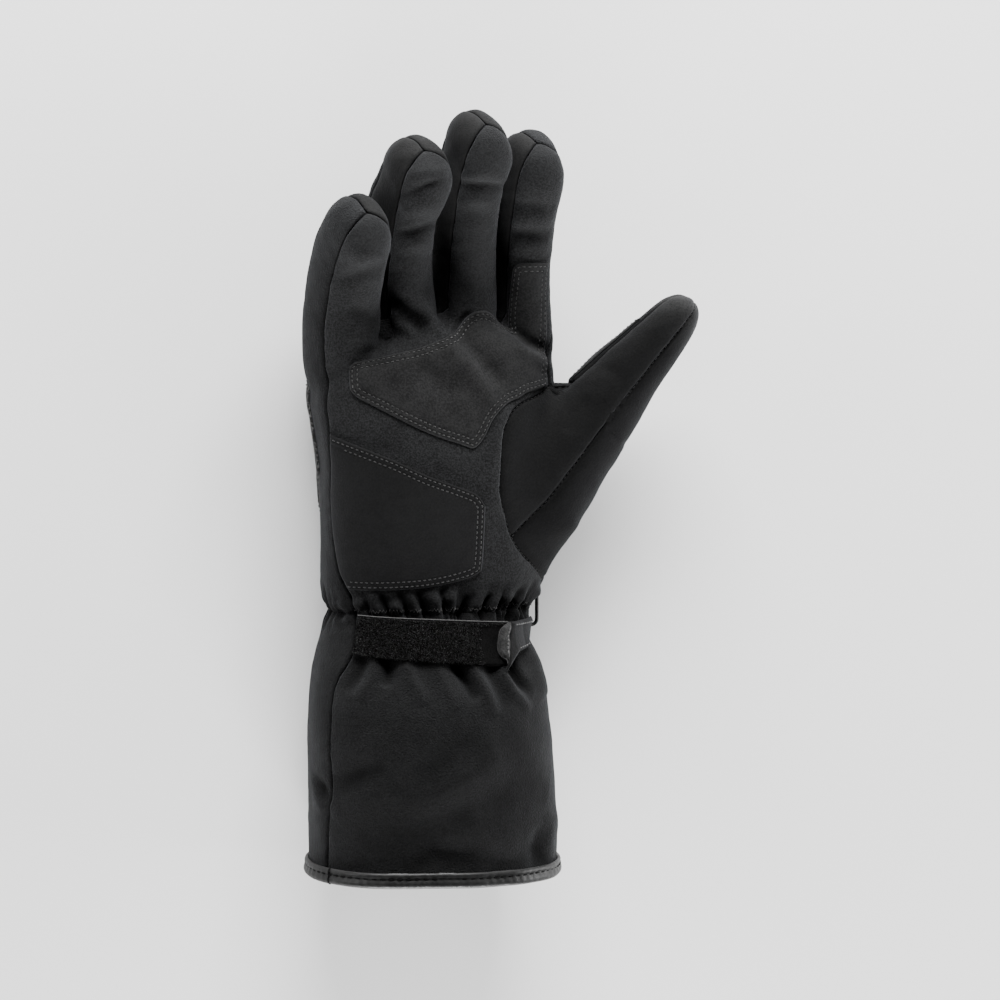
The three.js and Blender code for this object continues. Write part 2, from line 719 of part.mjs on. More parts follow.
// Swept pieces
// A closed body from rings of points, one after the other and back to the first.
function closedSweep(rings) {
  const position = [];
  const n = rings.length,
    m = rings[0].length;
  for (let i = 0; i < n; i++)
    for (let j = 0; j < m; j++) {
      const [a, b] = [rings[i][j], rings[i][(j + 1) % m]];
      const [c, d] = [rings[(i + 1) % n][(j + 1) % m], rings[(i + 1) % n][j]];
      position.push(...a, ...b, ...c, ...a, ...c, ...d);
    }
  return new THREE.BufferGeometry().setAttribute("position", new THREE.Float32BufferAttribute(position, 3));
}

// The binding folds round the cut edge of the cuff: a channel with its mouth towards the fingers.
const BINDING = { y: -145, leg: 6.6, innerLeg: 6.2, wall: 1.3, clear: 0.7 }; // y where its outline is taken
const bindingProfile = [
  // distance out from the cuff's outer face, y
  [BINDING.clear, HEM_Y + BINDING.leg],
  [BINDING.clear + BINDING.wall, HEM_Y + BINDING.leg],
  [BINDING.clear + BINDING.wall, HEM_Y],
  [-WALL - BINDING.clear - BINDING.wall, HEM_Y],
  [-WALL - BINDING.clear - BINDING.wall, HEM_Y + BINDING.innerLeg],
  [-WALL - BINDING.clear, HEM_Y + BINDING.innerLeg],
  [-WALL - BINDING.clear, CUFF_END_Y - BINDING.clear],
  [BINDING.clear, CUFF_END_Y - BINDING.clear],
];
const bindingRings = steps(48, 0, 360)
  .slice(0, -1)
  .map((a) => {
    const p = handPoint(BINDING.y, a);
    const n = unit([outward(p)[0], 0, outward(p)[2]]);
    return bindingProfile.map(([out, y]) => {
      const q = add(p, n, out);
      return [q[0], y - hemDrop(p[0]), q[2]];
    });
  });

// The slide ring: a rounded rectangle of wire that stands on the thumb side of the wrist.
function slideRing() {
  const foot = handPoint(RING.y, RING.angle);
  const along = [0, 1, 0],
    out = unit([outward(foot)[0], 0, outward(foot)[2]]),
    across = cross(along, out);
  const middle = add(foot, out, RING.clear + (RING.width + RING_WIRE) / 2);
  const centre = [];
  const r = RING.width / 2,
    half = RING.length / 2 - r;
  for (const [sign, a0] of [
    [1, 0],
    [-1, 180],
  ])
    for (const a of steps(8, a0, a0 + 180))
      centre.push([sign * half + r * Math.sin(rad(a)), r * Math.cos(rad(a))]);
  const n = centre.length;
  return centre.map(([u, v], i) => {
    const [p, q] = [centre[(i + n - 1) % n], centre[(i + 1) % n]];
    const t = unit([q[0] - p[0], q[1] - p[1], 0]);
    const side = [-t[1], t[0]];
    return steps(8, 0, 360)
      .slice(0, -1)
      .map((a) => {
        const [c, s] = [(Math.cos(rad(a)) * RING_WIRE) / 2, (Math.sin(rad(a)) * RING_WIRE) / 2];
        const at = add(add(middle, along, u + side[0] * c), out, v + side[1] * c);
        return add(at, across, s);
      });
  });
}

// The part
const glove = new THREE.Group();
const materials = {
  shell: new THREE.MeshStandardMaterial({ color: 0x24272b, roughness: 0.8 }),
  patch: new THREE.MeshStandardMaterial({ color: 0x1c1c1e, roughness: 0.85 }),
  binding: new THREE.MeshStandardMaterial({ color: 0x141416, roughness: 0.45 }),
  pile: new THREE.MeshStandardMaterial({ color: 0x2c2c2e, roughness: 0.95 }),
  metal: new THREE.MeshStandardMaterial({ color: 0x1a1a1c, roughness: 0.3, metalness: 0.8 }),
};
const addMesh = (name, geometry, material) => {
  const mesh = new THREE.Mesh(geometry, material);
  mesh.name = name;
  glove.add(mesh);
};
const shellPanels = [
  "palm_panel",
  "back_panel",
  ...fingerNames.map((name) => name + "_front"),
  ...fingerNames.map((name) => name + "_back"),
  ...strips,
  "thumb_palm_panel",
  "thumb_outer_panel",
  "cuff_palm_panel",
  "cuff_back_panel",
];
for (const name of shellPanels) {
  const inset = strips.includes(name) ? SEAM_GAP * 0.8 : SEAM_GAP / 2;
  addMesh(name, thicken(panel(name), { inner: -WALL, outer: 0, inset }), materials.shell);
}
const laid = (name, wall, material, lift = LIFT) =>
  addMesh(name, thicken(panel(name), { inner: lift, outer: lift + wall, inset: 0 }), material);
laid("palm_patch", PATCH_WALL, materials.patch, PATCH_LIFT);
laid("heel_patch", PATCH_WALL, materials.patch);
laid("thumb_edge_patch", THUMB_PATCH.wall, materials.patch);
laid("wrist_strap", STRAP_WALL, materials.pile);
laid("strap_tab", STRAP_WALL, materials.patch);
laid("knuckle_overlay", OVERLAY_WALL, materials.patch);
addMesh("hem_binding", closedSweep(bindingRings), materials.binding);
addMesh("strap_ring", closedSweep(slideRing()), materials.metal);

export default glove;
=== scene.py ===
# A right-hand winter motorcycle glove with a long gauntlet cuff, lying on its back with the palm up.
# Sizes are millimetres in the CAD's frame: +Y to the fingertips, +X to the thumb side, +Z up out of the
# palm. Angles are degrees round a section: 0 is straight up out of the palm, 90 is the thumb side.
import bpy
import numpy as np
from mathutils import Matrix


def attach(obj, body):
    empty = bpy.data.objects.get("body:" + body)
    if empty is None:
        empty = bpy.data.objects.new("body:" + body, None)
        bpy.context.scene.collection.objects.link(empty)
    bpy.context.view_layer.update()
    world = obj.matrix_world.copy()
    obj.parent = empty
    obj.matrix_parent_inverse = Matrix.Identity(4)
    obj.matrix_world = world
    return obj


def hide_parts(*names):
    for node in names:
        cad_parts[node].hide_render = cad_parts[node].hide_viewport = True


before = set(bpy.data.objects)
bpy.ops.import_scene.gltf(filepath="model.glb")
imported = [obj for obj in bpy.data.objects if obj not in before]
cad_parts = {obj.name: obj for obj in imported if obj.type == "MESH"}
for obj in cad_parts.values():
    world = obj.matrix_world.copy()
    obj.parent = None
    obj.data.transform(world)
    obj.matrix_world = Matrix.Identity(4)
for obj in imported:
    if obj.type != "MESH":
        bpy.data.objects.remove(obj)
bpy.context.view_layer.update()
MM = 0.001  # metres in a millimetre


# The padded hand shape
# Every panel of cloth lies on one smooth shape: a hand and cuff section that changes along Y, four bent
# fingers and a thumb, melted into each other and cut flat where the glove rests.
HAND = [
    # y, middle x, middle z, half width, half depth, power
    [-156, -1.6, 33.5, 51.4, 36.5, 2.2],
    [-130, -1.9, 33.2, 51.4, 36.2, 2.2],
    [-100, -2.4, 32, 50.8, 35, 2.2],
    [-80, -2.75, 30, 49.35, 32.5, 2.2],
    [-66, -3.8, 28, 46.6, 30, 2.2],
    [-52, -3.2, 25.5, 42.7, 27.5, 2.3],
    [-44, -1.1, 24.5, 42.4, 26.5, 2.4],
    [-32, 0.7, 25, 46, 27, 2.5],
    [-10, 1.85, 26.5, 47.65, 27.5, 2.6],
    [15, 2.1, 27.5, 47.9, 26.5, 2.6],
    [35, 0.5, 27.3, 49.5, 25, 2.6],
    [52, -0.4, 26.5, 50.6, 23, 2.6],
    [75, -0.8, 26, 50.6, 21, 2.6],
]
REST = [[-156, 2], [-72, 2], [-60, 2], [-38, 2.6], [-26, 4.7], [-18, 4.7], [80, 4.7]]  # y, height of the cut
KNUCKLE_START, KNUCKLE_DROP, KNUCKLE_CROWN, KNUCKLE_REACH, KNUCKLE_LENGTH = 56, 14, 12, 51, 18
FINGER_CAP, FINGER_ROLL, FINGER_BACK, FINGER_POWER = 16, 23, (4, 24), 2.3
FINGERS = [
    # root, lean, rise, bend, length, half width at root and tip, half depth at root and tip
    ([-39, 66, 29], 1.5, 11, 54, 65, 12, 11.4, 16.2, 14.4),
    ([-13.3, 75, 28], -1.2, 8, 46, 77.5, 11.8, 11.7, 16.4, 15.4),
    ([12.1, 77, 27.5], -1.6, 6, 46, 86, 11.6, 10.9, 16.4, 15.8),
    ([37, 75, 27], -3, 4, 44, 78.5, 11.4, 10.7, 16, 15.4),
]
THUMB_ROOT = np.array([40.0, 5, 30])
THUMB_TIP = np.array([105.5, 81.5, 47])
THUMB_BEND = 8
THUMB_CAP, THUMB_ROLL, THUMB_BACK, THUMB_POWER = 14, -15, (0, 24), 2.2
THUMB_SECTIONS = [
    # along, half width, half depth
    [0, 28.5, 22],
    [20, 22.5, 20],
    [39, 17.5, 18],
    [61, 14.5, 16.5],
    [75, 12.3, 15.2],
    [90, 10.3, 14.5],
    [102, 9.9, 14],
]


def curve(table, t):
    """The other columns of a table at t in its first: a cubic through the rows, with the slope at each row
    taken from its two neighbours."""
    rows = np.array(table, float)
    x = rows[:, 0]
    t = np.clip(np.asarray(t, float), x[0], x[-1])
    i = np.clip(np.searchsorted(x, t, side="right") - 1, 0, len(x) - 2)
    before = np.maximum(i - 1, 0)
    after = np.minimum(i + 2, len(x) - 1)
    h = (x[i + 1] - x[i])[..., None]
    u = (t - x[i])[..., None] / h
    p = rows[i, 1:]
    q = rows[i + 1, 1:]
    slope_p = (q - rows[before, 1:]) / (x[i + 1] - x[before])[..., None]
    slope_q = (rows[after, 1:] - p) / (x[after] - x[i])[..., None]
    values = (1 + 2 * u) * (1 - u) ** 2 * p + u * u * (3 - 2 * u) * q
    return values + h * (u * (1 - u) ** 2 * slope_p + u * u * (u - 1) * slope_q)


def bell(x, width):
    """1 at x = 0, falling off on both sides over a width: exp of minus the square of x / width."""
    return np.exp(-((x / width) ** 2))


def section_field(x, a, z, b, e, c, w):
    """Distance-like value of a rounded section of power w, below 0 inside half sizes a, b and length c."""
    size = (np.abs(x / a) ** w + np.abs(z / b) ** w + (e / c) ** w) ** (1 / w)
    return np.sqrt(x * x + z * z + e * e) * (1 - 1 / np.maximum(size, 1e-3))


def swell(value, p, swellings):
    """A field with soft swellings and dents: centre, how far the cloth stands out, radius."""
    for centre, height, radius in swellings:
        value = value - height * np.exp(-((p - centre) ** 2).sum(-1) / radius**2)
    return value


class Digit:
    """A finger or thumb: a tube on a middle line that leaves its root straight and then bends up in a
    circle. Its tip is rounded over the length cap, its section is rolled round the line by roll degrees,
    and back says how far behind the root the tube stays straight and then rounds off."""

    def __init__(self, root, lean, rise, bend, length, cap, half, roll, back, power):
        self.root = np.array(root, float)
        lean, rise, roll = np.radians([lean, rise, roll])
        self.ex = np.array([np.cos(lean), -np.sin(lean), 0])
        self.ey = np.array([np.sin(lean) * np.cos(rise), np.cos(lean) * np.cos(rise), np.sin(rise)])
        self.ez = np.cross(self.ex, self.ey)
        self.length, self.cap, self.half, self.back, self.power = length, cap, half, back, power
        self.radius = length / np.radians(bend)
        self.cos, self.sin = np.cos(roll), np.sin(roll)
        self.swellings = []

    def local(self, p):
        """Length along the middle line, and the two places across it."""
        d = p - self.root
        u, v, w = d @ self.ex, d @ self.ey, d @ self.ez
        along = np.where(v < 0, v, self.radius * np.arctan2(v, self.radius - w))
        up = np.where(v < 0, w, self.radius - np.hypot(v, self.radius - w))
        return along, u * self.cos - up * self.sin, u * self.sin + up * self.cos

    def field(self, p):
        """The section field of the tube: 0 on its surface."""
        s, x, z = self.local(p)
        a, b = self.half(s)
        straight, length = self.back
        e = np.maximum(s - (self.length - self.cap), 0) + np.maximum(-s - straight, 0) * (self.cap / length)
        return swell(section_field(x, a, z, b, e, self.cap, self.power), p, self.swellings)

    def point(self, s, angle):
        """The point of the tube at length s along the middle line and at an angle round it."""
        s, angle = np.broadcast_arrays(np.asarray(s, float), np.radians(angle))
        a, b = self.half(s)
        w = self.power
        near = (1 - np.clip((s - (self.length - self.cap)) / self.cap, 0, 1) ** w) ** (1 / w)
        r = near * (np.abs(np.sin(angle)) ** w + np.abs(np.cos(angle)) ** w) ** (-1 / w)
        x, z = a * np.sin(angle) * r, b * np.cos(angle) * r
        u, up = x * self.cos + z * self.sin, z * self.cos - x * self.sin
        turn = np.maximum(s, 0) / self.radius
        v = np.where(s < 0, s, (self.radius - up) * np.sin(turn))
        rise = np.where(s < 0, up, self.radius - (self.radius - up) * np.cos(turn))
        return self.root + u[..., None] * self.ex + v[..., None] * self.ey + rise[..., None] * self.ez

    def angle(self, p):
        """The angle of a point round the middle line."""
        s, x, z = self.local(p)
        a, b = self.half(s)
        return np.degrees(np.arctan2(x / a, z / b))


def finger_half(root_width, tip_width, root_depth, tip_depth, length):
    """Half sizes that change evenly along the finger, from the root's to the tip's."""
    def half(s):
        t = np.clip(s / length, 0, 1)
        return root_width + (tip_width - root_width) * t, root_depth + (tip_depth - root_depth) * t
    return half


def thumb_half(s):
    """Half sizes from the table of thumb sections."""
    both = curve(THUMB_SECTIONS, s)
    return both[..., 0], both[..., 1]


digits = [
    Digit(
        root, lean, rise, bend, length,
        FINGER_CAP, finger_half(*sizes, length), FINGER_ROLL, FINGER_BACK, FINGER_POWER,
    )
    for root, lean, rise, bend, length, *sizes in FINGERS
]
FINGER_SWELLINGS = [
    # finger, along it, angle round it, height, radius: they bring each finger to its outline
    (0, 10, 225, 1.3, 14),
    (0, 26, 225, 1.5, 12),
    (0, 40, 225, 1.2, 11),
    (0, 10, 42, 1.5, 9),
    (1, 20, 50, -1.9, 12),
    (1, 34, 48, -2.9, 12),
    (1, 49, 45, -2, 11),
    (1, 46, 222, 3, 10),
    (1, 34, 222, 1.5, 12),
    (2, 30, 40, -0.9, 12),
    (2, 46, 40, -1.4, 11),
    (2, 60, 40, -1.2, 9),
    (3, 10, 39, -1, 12),
    (3, 25, 39, -0.9, 12),
    (3, 40, 37, -0.5, 12),
    (3, 74, 110, 1.5, 7),
]
for finger, along, angle, height, radius in FINGER_SWELLINGS:
    digits[finger].swellings.append((digits[finger].point(along, angle), height, radius))
thumb_run = THUMB_TIP - THUMB_ROOT
thumb_length = np.linalg.norm(thumb_run)
thumb_lean = np.degrees(np.arctan2(thumb_run[0], thumb_run[1]))
thumb_rise = np.degrees(np.arcsin(thumb_run[2] / thumb_length)) - THUMB_BEND / 2
thumb = Digit(
    THUMB_ROOT, thumb_lean, thumb_rise, THUMB_BEND, thumb_length,
    THUMB_CAP, thumb_half, THUMB_ROLL, THUMB_BACK, THUMB_POWER,
)


def hand_field(p):
    """The section field of the hand and cuff, whose end under the fingers is rounded and arched."""
    x, z = p[..., 0], p[..., 2]
    middle_x, middle_z, a, b, w = np.moveaxis(curve(HAND, p[..., 1]), -1, 0)
    end = KNUCKLE_START - KNUCKLE_DROP * ((x - KNUCKLE_CROWN) / KNUCKLE_REACH) ** 2
    return section_field(x - middle_x, a, z - middle_z, b, np.maximum(p[..., 1] - end, 0), KNUCKLE_LENGTH, w)


def melt(a, b, k):
    """The smaller of two fields, with a fillet of about k where they meet."""
    h = np.maximum(k - np.abs(a - b), 0) / k
    return np.minimum(a, b) - h * h * k / 4


FILLET, REST_FILLET = 6, 1.5
SWELLINGS = [
    # centre, how far it stands out, radius: they bring the thumb's root and tip to their outline
    ((61, -13, 38), -2.5, 9.5),
    ((47.5, -24, 36.5), 1.7, 7.5),
    ((78, 21, 40), 1.9, 13),
    ((101, 80, 55), 1.3, 7),
    ((107, 70, 49.5), -0.9, 7),
]


def shell(p):
    """The field of the whole shape, 0 on the cloth and below 0 inside: the hand, thumb and fingers melted
    together, less what lies below the cut where the glove rests."""
    hand = swell(melt(hand_field(p), thumb.field(p), FILLET), p, SWELLINGS)
    fingers = np.min([digit.field(p) for digit in digits], axis=0)
    above_cut = p[..., 2] - curve(REST, p[..., 1])[..., 0]
    return -melt(-melt(hand, fingers, FILLET), above_cut, REST_FILLET)


def slope(p, field=shell):
    """The field's slope, from its values a little to each side."""
    h = 0.02
    return np.stack([(field(p + h * e) - field(p - h * e)) / (2 * h) for e in np.eye(3)], -1)


def unit(v):
    """Vectors of length 1."""
    return v / np.maximum(np.linalg.norm(v, axis=-1, keepdims=True), 1e-9)


def outward(p):
    """The direction straight out of the cloth."""
    return unit(slope(p))


SETTLE_STEPS, LEAVE_STEPS, LEAVE_HALVINGS = 5, 26, 13


def settle(p, field=shell):
    """The nearest point of the cloth, by a few steps down the field."""
    for _ in range(SETTLE_STEPS):
        g = slope(p, field)
        p = p - g * (field(p) / np.maximum((g * g).sum(-1), 1e-6))[..., None]
    return p


def leave(a, b):
    """Where straight lines from a, inside, towards b first leave the shape: coarse steps, then halving."""
    a, b = np.broadcast_arrays(a, b)
    t = np.arange(1, LEAVE_STEPS + 1) / LEAVE_STEPS
    outside = np.stack([shell(a + (b - a) * s) >= 0 for s in t])
    first = np.where(outside.any(0), outside.argmax(0), LEAVE_STEPS - 1)
    lo, hi = first / LEAVE_STEPS, (first + 1) / LEAVE_STEPS
    for _ in range(LEAVE_HALVINGS):
        middle = (lo + hi) / 2
        inside = shell(a + (b - a) * middle[..., None]) < 0
        lo = np.where(inside, middle, lo)
        hi = np.where(inside, hi, middle)
    return a + (b - a) * hi[..., None]


def hand_point(y, angle):
    """The point of the hand or cuff at y and at an angle round the section."""
    y, angle = np.broadcast_arrays(np.asarray(y, float), np.radians(angle))
    middle_x, middle_z, a, b, _ = np.moveaxis(curve(HAND, y), -1, 0)
    middle = np.stack([middle_x, y, middle_z], -1)
    well_outside = 1.7 * np.stack([a * np.sin(angle), 0 * y, b * np.cos(angle)], -1)
    return leave(middle, middle + well_outside)


def hand_angle(p):
    """The angle of a point round the section of the hand."""
    middle_x, middle_z, a, b, _ = np.moveaxis(curve(HAND, p[..., 1]), -1, 0)
    return np.degrees(np.arctan2((p[..., 0] - middle_x) / a, (p[..., 2] - middle_z) / b))


# The lines that the panels meet on
# The cloth is cut into panels that are sewn edge to edge. Each panel is a grid of points on the shape,
# with its lines closer together at the seams, where the cloth turns in.
FRONT, RIGHT, BACK, LEFT = (-75, 60), (60, 130), (130, 230), (230, 285)
FINGER_START = 3
SIDE_SEAM = [
    # y, angle on the little finger's side: at the cuff, the wrist, and the hand
    [-156, -69.5], [-140, -68], [-103, -63], [-92, -64], [-76, -62.5],
    [-68, -58], [-63, -52.7], [-56, -49.2], [-44, -52.4], [-36, -54.2], [-26, -63],
    [-10, -69.5], [4, -73], [20, -70], [31, -66.3], [43, -65.2], [53, -64], [64, -60.5],
]
THUMB_SIDE_SEAM = [
    # y, angle: the second and third lines are the edge of the palm round the root of the thumb
    [-156, 96], [-60, 94], [-44, 86], [-38, 76],
    [-33, 64], [-28, 51], [-21, 37], [-13.5, 29], [-5, 25], [4, 22], [14, 22],
    [26, 24], [35, 28.5], [40, 35], [42.5, 44], [45, 54], [47, 61],
    [54, 58], [64, 56],
]
THUMB_BACK_SEAM = [
    # y, angle: the same ring round the thumb, on the back of the hand
    [-33, 64], [-28, 86], [-21, 106], [-13.5, 119], [-5, 127], [4, 131], [14, 132],
    [26, 131], [35, 127], [40, 121], [42.5, 115], [45, 100], [47, 61],
]
HAND_TOP_Y, RING_TOP, RING_BOTTOM, WRIST_Y = 60, 47, -33, -43.8


def closer_at_ends(count, lo, hi, pull=0.6):
    """count + 1 numbers from lo to hi, closer together at both ends."""
    t = np.linspace(0, 1, count + 1)
    return lo + (hi - lo) * (t - pull * np.sin(2 * np.pi * t) / (2 * np.pi))


around = np.concatenate([
    closer_at_ends(30, *FRONT)[:-1],
    closer_at_ends(16, *RIGHT)[:-1],
    closer_at_ends(24, *BACK)[:-1],
    closer_at_ends(16, *LEFT),
])
RIGHT_AT, BACK_AT, LEFT_AT, END_AT = 30, 46, 70, 86  # columns where those parts begin, and the last one
MIDDLE_AT = 58  # the middle of the back
STRAIGHT_ROWS, CAP_ROWS = 72, 18
RIGHT_FADE, LEFT_FADE = 18, 14  # degrees over which a finger's own tube takes over from the melted shape


def digit_rows(digit, start, straight_rows, cap_rows):
    """Lengths along a digit: even as far as the rounded tip, then closer and closer."""
    straight = digit.length - digit.cap
    tip = straight + digit.cap * np.sin(np.linspace(0, np.pi / 2, cap_rows + 1)[1:])
    return np.concatenate([np.linspace(start, straight, straight_rows + 1), tip])


def finger_grid(k):
    """Rings of a finger. They are settled on the shape, except between two fingers, where the tube itself
    is the surface."""
    along = digit_rows(digits[k], FINGER_START, STRAIGHT_ROWS, CAP_ROWS)[:, None]
    on_tube = settle(digits[k].point(along, around), digits[k].field)
    right = np.clip(np.minimum(around - RIGHT[0], RIGHT[1] - around) / RIGHT_FADE, 0, 1) * (k < 3)
    left = np.clip(np.minimum(around - LEFT[0], LEFT[1] - around) / LEFT_FADE, 0, 1) * (k > 0)
    free = 1 - np.maximum(right, left)
    return on_tube + (settle(on_tube) - on_tube) * free[:, None]


finger_grids = [finger_grid(k) for k in range(4)]
SLIT_RAISE = (2.0, 2.2, 0.5)  # how far the bottom of each slit is drawn up by its stitches
SLIT_ROWS, SLIT_FROM_Y = 13, 58  # rows across a slit, and a y that is well inside the cloth below it


def slit_grid(k):
    """The bottom of the slit between two fingers: curves from the right side of one, down through the
    middle of the slit, to the left side of the next."""
    a = finger_grids[k][0, RIGHT_AT:BACK_AT + 1]
    b = finger_grids[k + 1][0, LEFT_AT:END_AT + 1][::-1]
    y = np.maximum(a[:, 1], b[:, 1])
    z = (a[:, 2] + b[:, 2]) / 2
    lo, hi = a[:, 0] - 1, b[:, 0] + 1
    for _ in range(24):
        x = (lo + hi) / 2
        here = np.stack([x, y, z], -1)
        nearer = digits[k].field(here) < digits[k + 1].field(here)
        lo = np.where(nearer, x, lo)
        hi = np.where(nearer, hi, x)
    bottom = leave(np.stack([hi, 0 * y + SLIT_FROM_Y, z], -1), np.stack([hi, y + 8, z], -1))
    lowest = np.minimum(bottom[:, 1] + SLIT_RAISE[k], np.minimum(a[:, 1], b[:, 1]) - 0.8)
    middle = np.stack([hi, lowest, z], -1)
    t = np.linspace(0, 1, SLIT_ROWS)[:, None, None]
    return a * (1 - t) * (1 - 2 * t) + middle * 4 * t * (1 - t) + b * t * (2 * t - 1)


slit_grids = [slit_grid(k) for k in range(3)]


def side_seam(y):
    """Angle of the seam on the little finger's side."""
    return curve(SIDE_SEAM, y)[..., 0]


def thumb_side(y):
    """Angle of the seam on the thumb side."""
    return curve(THUMB_SIDE_SEAM, y)[..., 0]


def thumb_back(y):
    """The same on the back of the hand, which runs round the other side of the thumb's root."""
    beside = (y < RING_TOP) & (y > RING_BOTTOM)
    return np.where(beside, curve(THUMB_BACK_SEAM, y)[..., 0], thumb_side(y))


DEGREE_WEIGHT = 0.55  # the square of the millimetres that a degree spans, about


def rows_between(top, bottom, spacing):
    """Values of y at even steps along the seams round the thumb, whose ends run nearly across the hand."""
    y = np.linspace(top, bottom, 1500)
    across = np.diff(thumb_side(y)) ** 2 + np.diff(thumb_back(y)) ** 2
    run = np.concatenate([[0], np.cumsum(np.sqrt(np.diff(y) ** 2 + DEGREE_WEIGHT * across))])
    return np.interp(np.linspace(0, run[-1], int(run[-1] / spacing) + 1), run, y)


upper_rows = rows_between(HAND_TOP_Y, RING_TOP, 0.8)
thumb_rows = rows_between(RING_TOP, RING_BOTTOM, 1.1)
lower_rows = rows_between(RING_BOTTOM, WRIST_Y, 0.6)
hand_y = np.concatenate([upper_rows[:-1], thumb_rows, lower_rows[1:]])
TOP_ROWS = 26  # rows between the roots of the fingers and HAND_TOP_Y
EVEN_SHARE, EVEN_OVER = 0.8, 25  # how far the columns even out, and over what length


def hand_rows(top, left_seam, right_seam, sign):
    """Rows from the roots of the fingers to the wrist. Each column has its share of the way between the
    seams: at first as it leaves the fingers, then more evenly."""
    step = (np.diff(hand_angle(top)) * sign + 540) % 360 - 180
    turned = np.concatenate([[0], np.cumsum(np.maximum(step, 0.3))])
    share = turned / turned[-1]
    evenly = closer_at_ends(len(top) - 1, 0, 1, 0.5)

    def at(y):
        """Rows at given values of y."""
        y = np.asarray(y, float)[:, None]
        even = EVEN_SHARE * np.clip((HAND_TOP_Y - y) / EVEN_OVER, 0, 1)
        left, right = left_seam(y), right_seam(y)
        return hand_point(y, left + (right - left) * (share + (evenly - share) * even))

    t = np.linspace(0, 1, TOP_ROWS + 1)[1:-1, None, None]
    under_fingers = settle(top + (at([HAND_TOP_Y]) - top) * t) + (top - settle(top)) * (1 - t) ** 4
    return np.concatenate([top[None], under_fingers, at(hand_y)])


def top_line(columns, side):
    """The line along the roots of the fingers, with the slits between them: columns are the first and last
    of each finger's, and side is which edge of the slits."""
    parts = []
    for k, (first, last) in enumerate(columns):
        step = 1 if last > first else -1
        parts.append(finger_grids[k][0, first:last + step:step])
        if k < 3:
            parts.append(slit_grids[k][1:-1, side])
    return np.concatenate(parts)


palm_top = top_line([(0, RIGHT_AT)] * 4, 0)
back_top = top_line([(END_AT, BACK_AT), (LEFT_AT, BACK_AT), (LEFT_AT, BACK_AT), (LEFT_AT, RIGHT_AT)], -1)
palm_grid = hand_rows(palm_top, side_seam, thumb_side, 1)
back_grid = hand_rows(back_top, side_seam, lambda y: thumb_back(y) - 360, -1)


# Palm and the fronts of the fingers
# One panel of black softshell with a thin foam backing runs from the wrist to the fingertips. It folds at
# the finger joints, along the life line and below the ring finger, and is gathered on elastic at the wrist.
WALL = 2.2
RIM_INSET = 0.12  # how far a panel's cut edge is drawn in from the seam line
SEAM_GROOVE, SEAM_VALLEY = (0.8, 0.6), (0.28, 2.6)  # depth and width, down in the seam and beside it
FOLDS = [
    # height, width, then x and y along the fold as seen from above; a hollow has a negative height
    (1.7, 4.6, (-6, 72), (0.5, 63), (5.5, 57.5), (10.5, 51.5), (16, 44), (20, 34)),
    (-1.6, 4.2, (5, 69), (11, 61.5), (15.5, 56), (21, 48)),
    (-1.3, 5, (-16, 58), (-6, 50), (3, 42)),
    (1.3, 3.6, (24, 40), (20.5, 30), (18.5, 18), (17.5, 6), (19.5, -8)),
    (2, 3.2, (-22, 90), (-14.8, 82.5), (-7.8, 76), (-1.5, 68)),
    (-1.1, 2.8, (-20, 83), (-15.5, 76), (-9.5, 70), (-6, 66)),
    (1.2, 2.2, (-21, 77), (-17, 71), (-12, 67)),
    (-3.2, 1.3, (-23, 80), (-22.3, 74), (-21.7, 70), (-21.8, 66.3)),
    (0.8, 1.5, (-1, 70), (2.5, 66.5), (7, 71)),
    (-1.8, 2.6, (29, 69.5), (36.5, 64), (45, 61)),
    (1.4, 3, (29, 63), (38, 58), (46, 55)),
    (-1.5, 1, (3.5, 68), (7.3, 73), (11.5, 77)),
    (-1.2, 1.7, (-23.5, 121), (-17.5, 124.3), (-11, 127.3), (-3, 129)),
    (1.4, 2.5, (-22, 128), (-14, 130), (-5, 129)),
    (-1.1, 1.7, (-23.5, 107.5), (-17, 108.5), (-10, 110.5), (-2.5, 112)),
    (1.6, 3.5, (-22, 116), (-13, 118), (-4, 118)),
    (1, 3, (-21, 102), (-13, 104), (-5, 104)),
    (-1.3, 1.5, (2, 128), (7, 126.6), (14, 126.2), (22.5, 126.6)),
    (1.3, 2.6, (1, 129.5), (10, 131.5), (20, 129)),
    (1.3, 3, (2, 120), (10, 121), (20, 118.5)),
    (-1, 2.2, (26, 119.5), (33, 119), (42, 117.5)),
    (0.9, 2.8, (27, 114), (35, 113.5), (43, 112)),
    (-1, 2.2, (27, 108.5), (35, 108), (42.5, 107)),
    (0.8, 2.6, (28, 103.5), (36, 103), (43, 102)),
    (-1, 2.4, (-45, 89), (-36, 92), (-28, 94.5)),
    (0.8, 3, (-44, 97), (-36, 99), (-29, 100)),
    (-1.2, 3.5, (-41, 79), (-33, 76), (-27, 70)),
    (0.9, 3.5, (-40, 70), (-34, 66), (-27, 62)),
]
GATHERS = [
    # x of a hollow between two gathers at the elastic, x of its upper end, its depth, its width
    (-31.5, -34.2, 0.6, 0.9),
    (-24.4, -28, 1, 1),
    (-17, -20.8, 0.9, 1.1),
    (-9.8, -13.8, 1.1, 1.2),
    (-1.5, -3.8, 0.8, 0.9),
    (2.6, 4.2, 0.45, 0.7),
    (5.4, 8.8, 1, 1.7),
    (14.3, 18.8, 0.9, 1.2),
    (21.6, 24.8, 0.7, 0.8),
    (27.2, 33.6, 1, 1.3),
    (33.4, 39.4, 0.9, 1.1),
]
GATHER_TOP, GATHER_FOOT = -31, -54  # y where the gathers end, above and below the elastic
GATHERS_ROUND = 25  # gathers round the whole wrist, away from the palm side
ELASTIC_DEPTH, ELASTIC_WIDTH = 1.4, 3.2
SLIGHT_WAVES = [
    # height, length
    (0.22, 42), (0.13, 16), (0.04, 6),
]
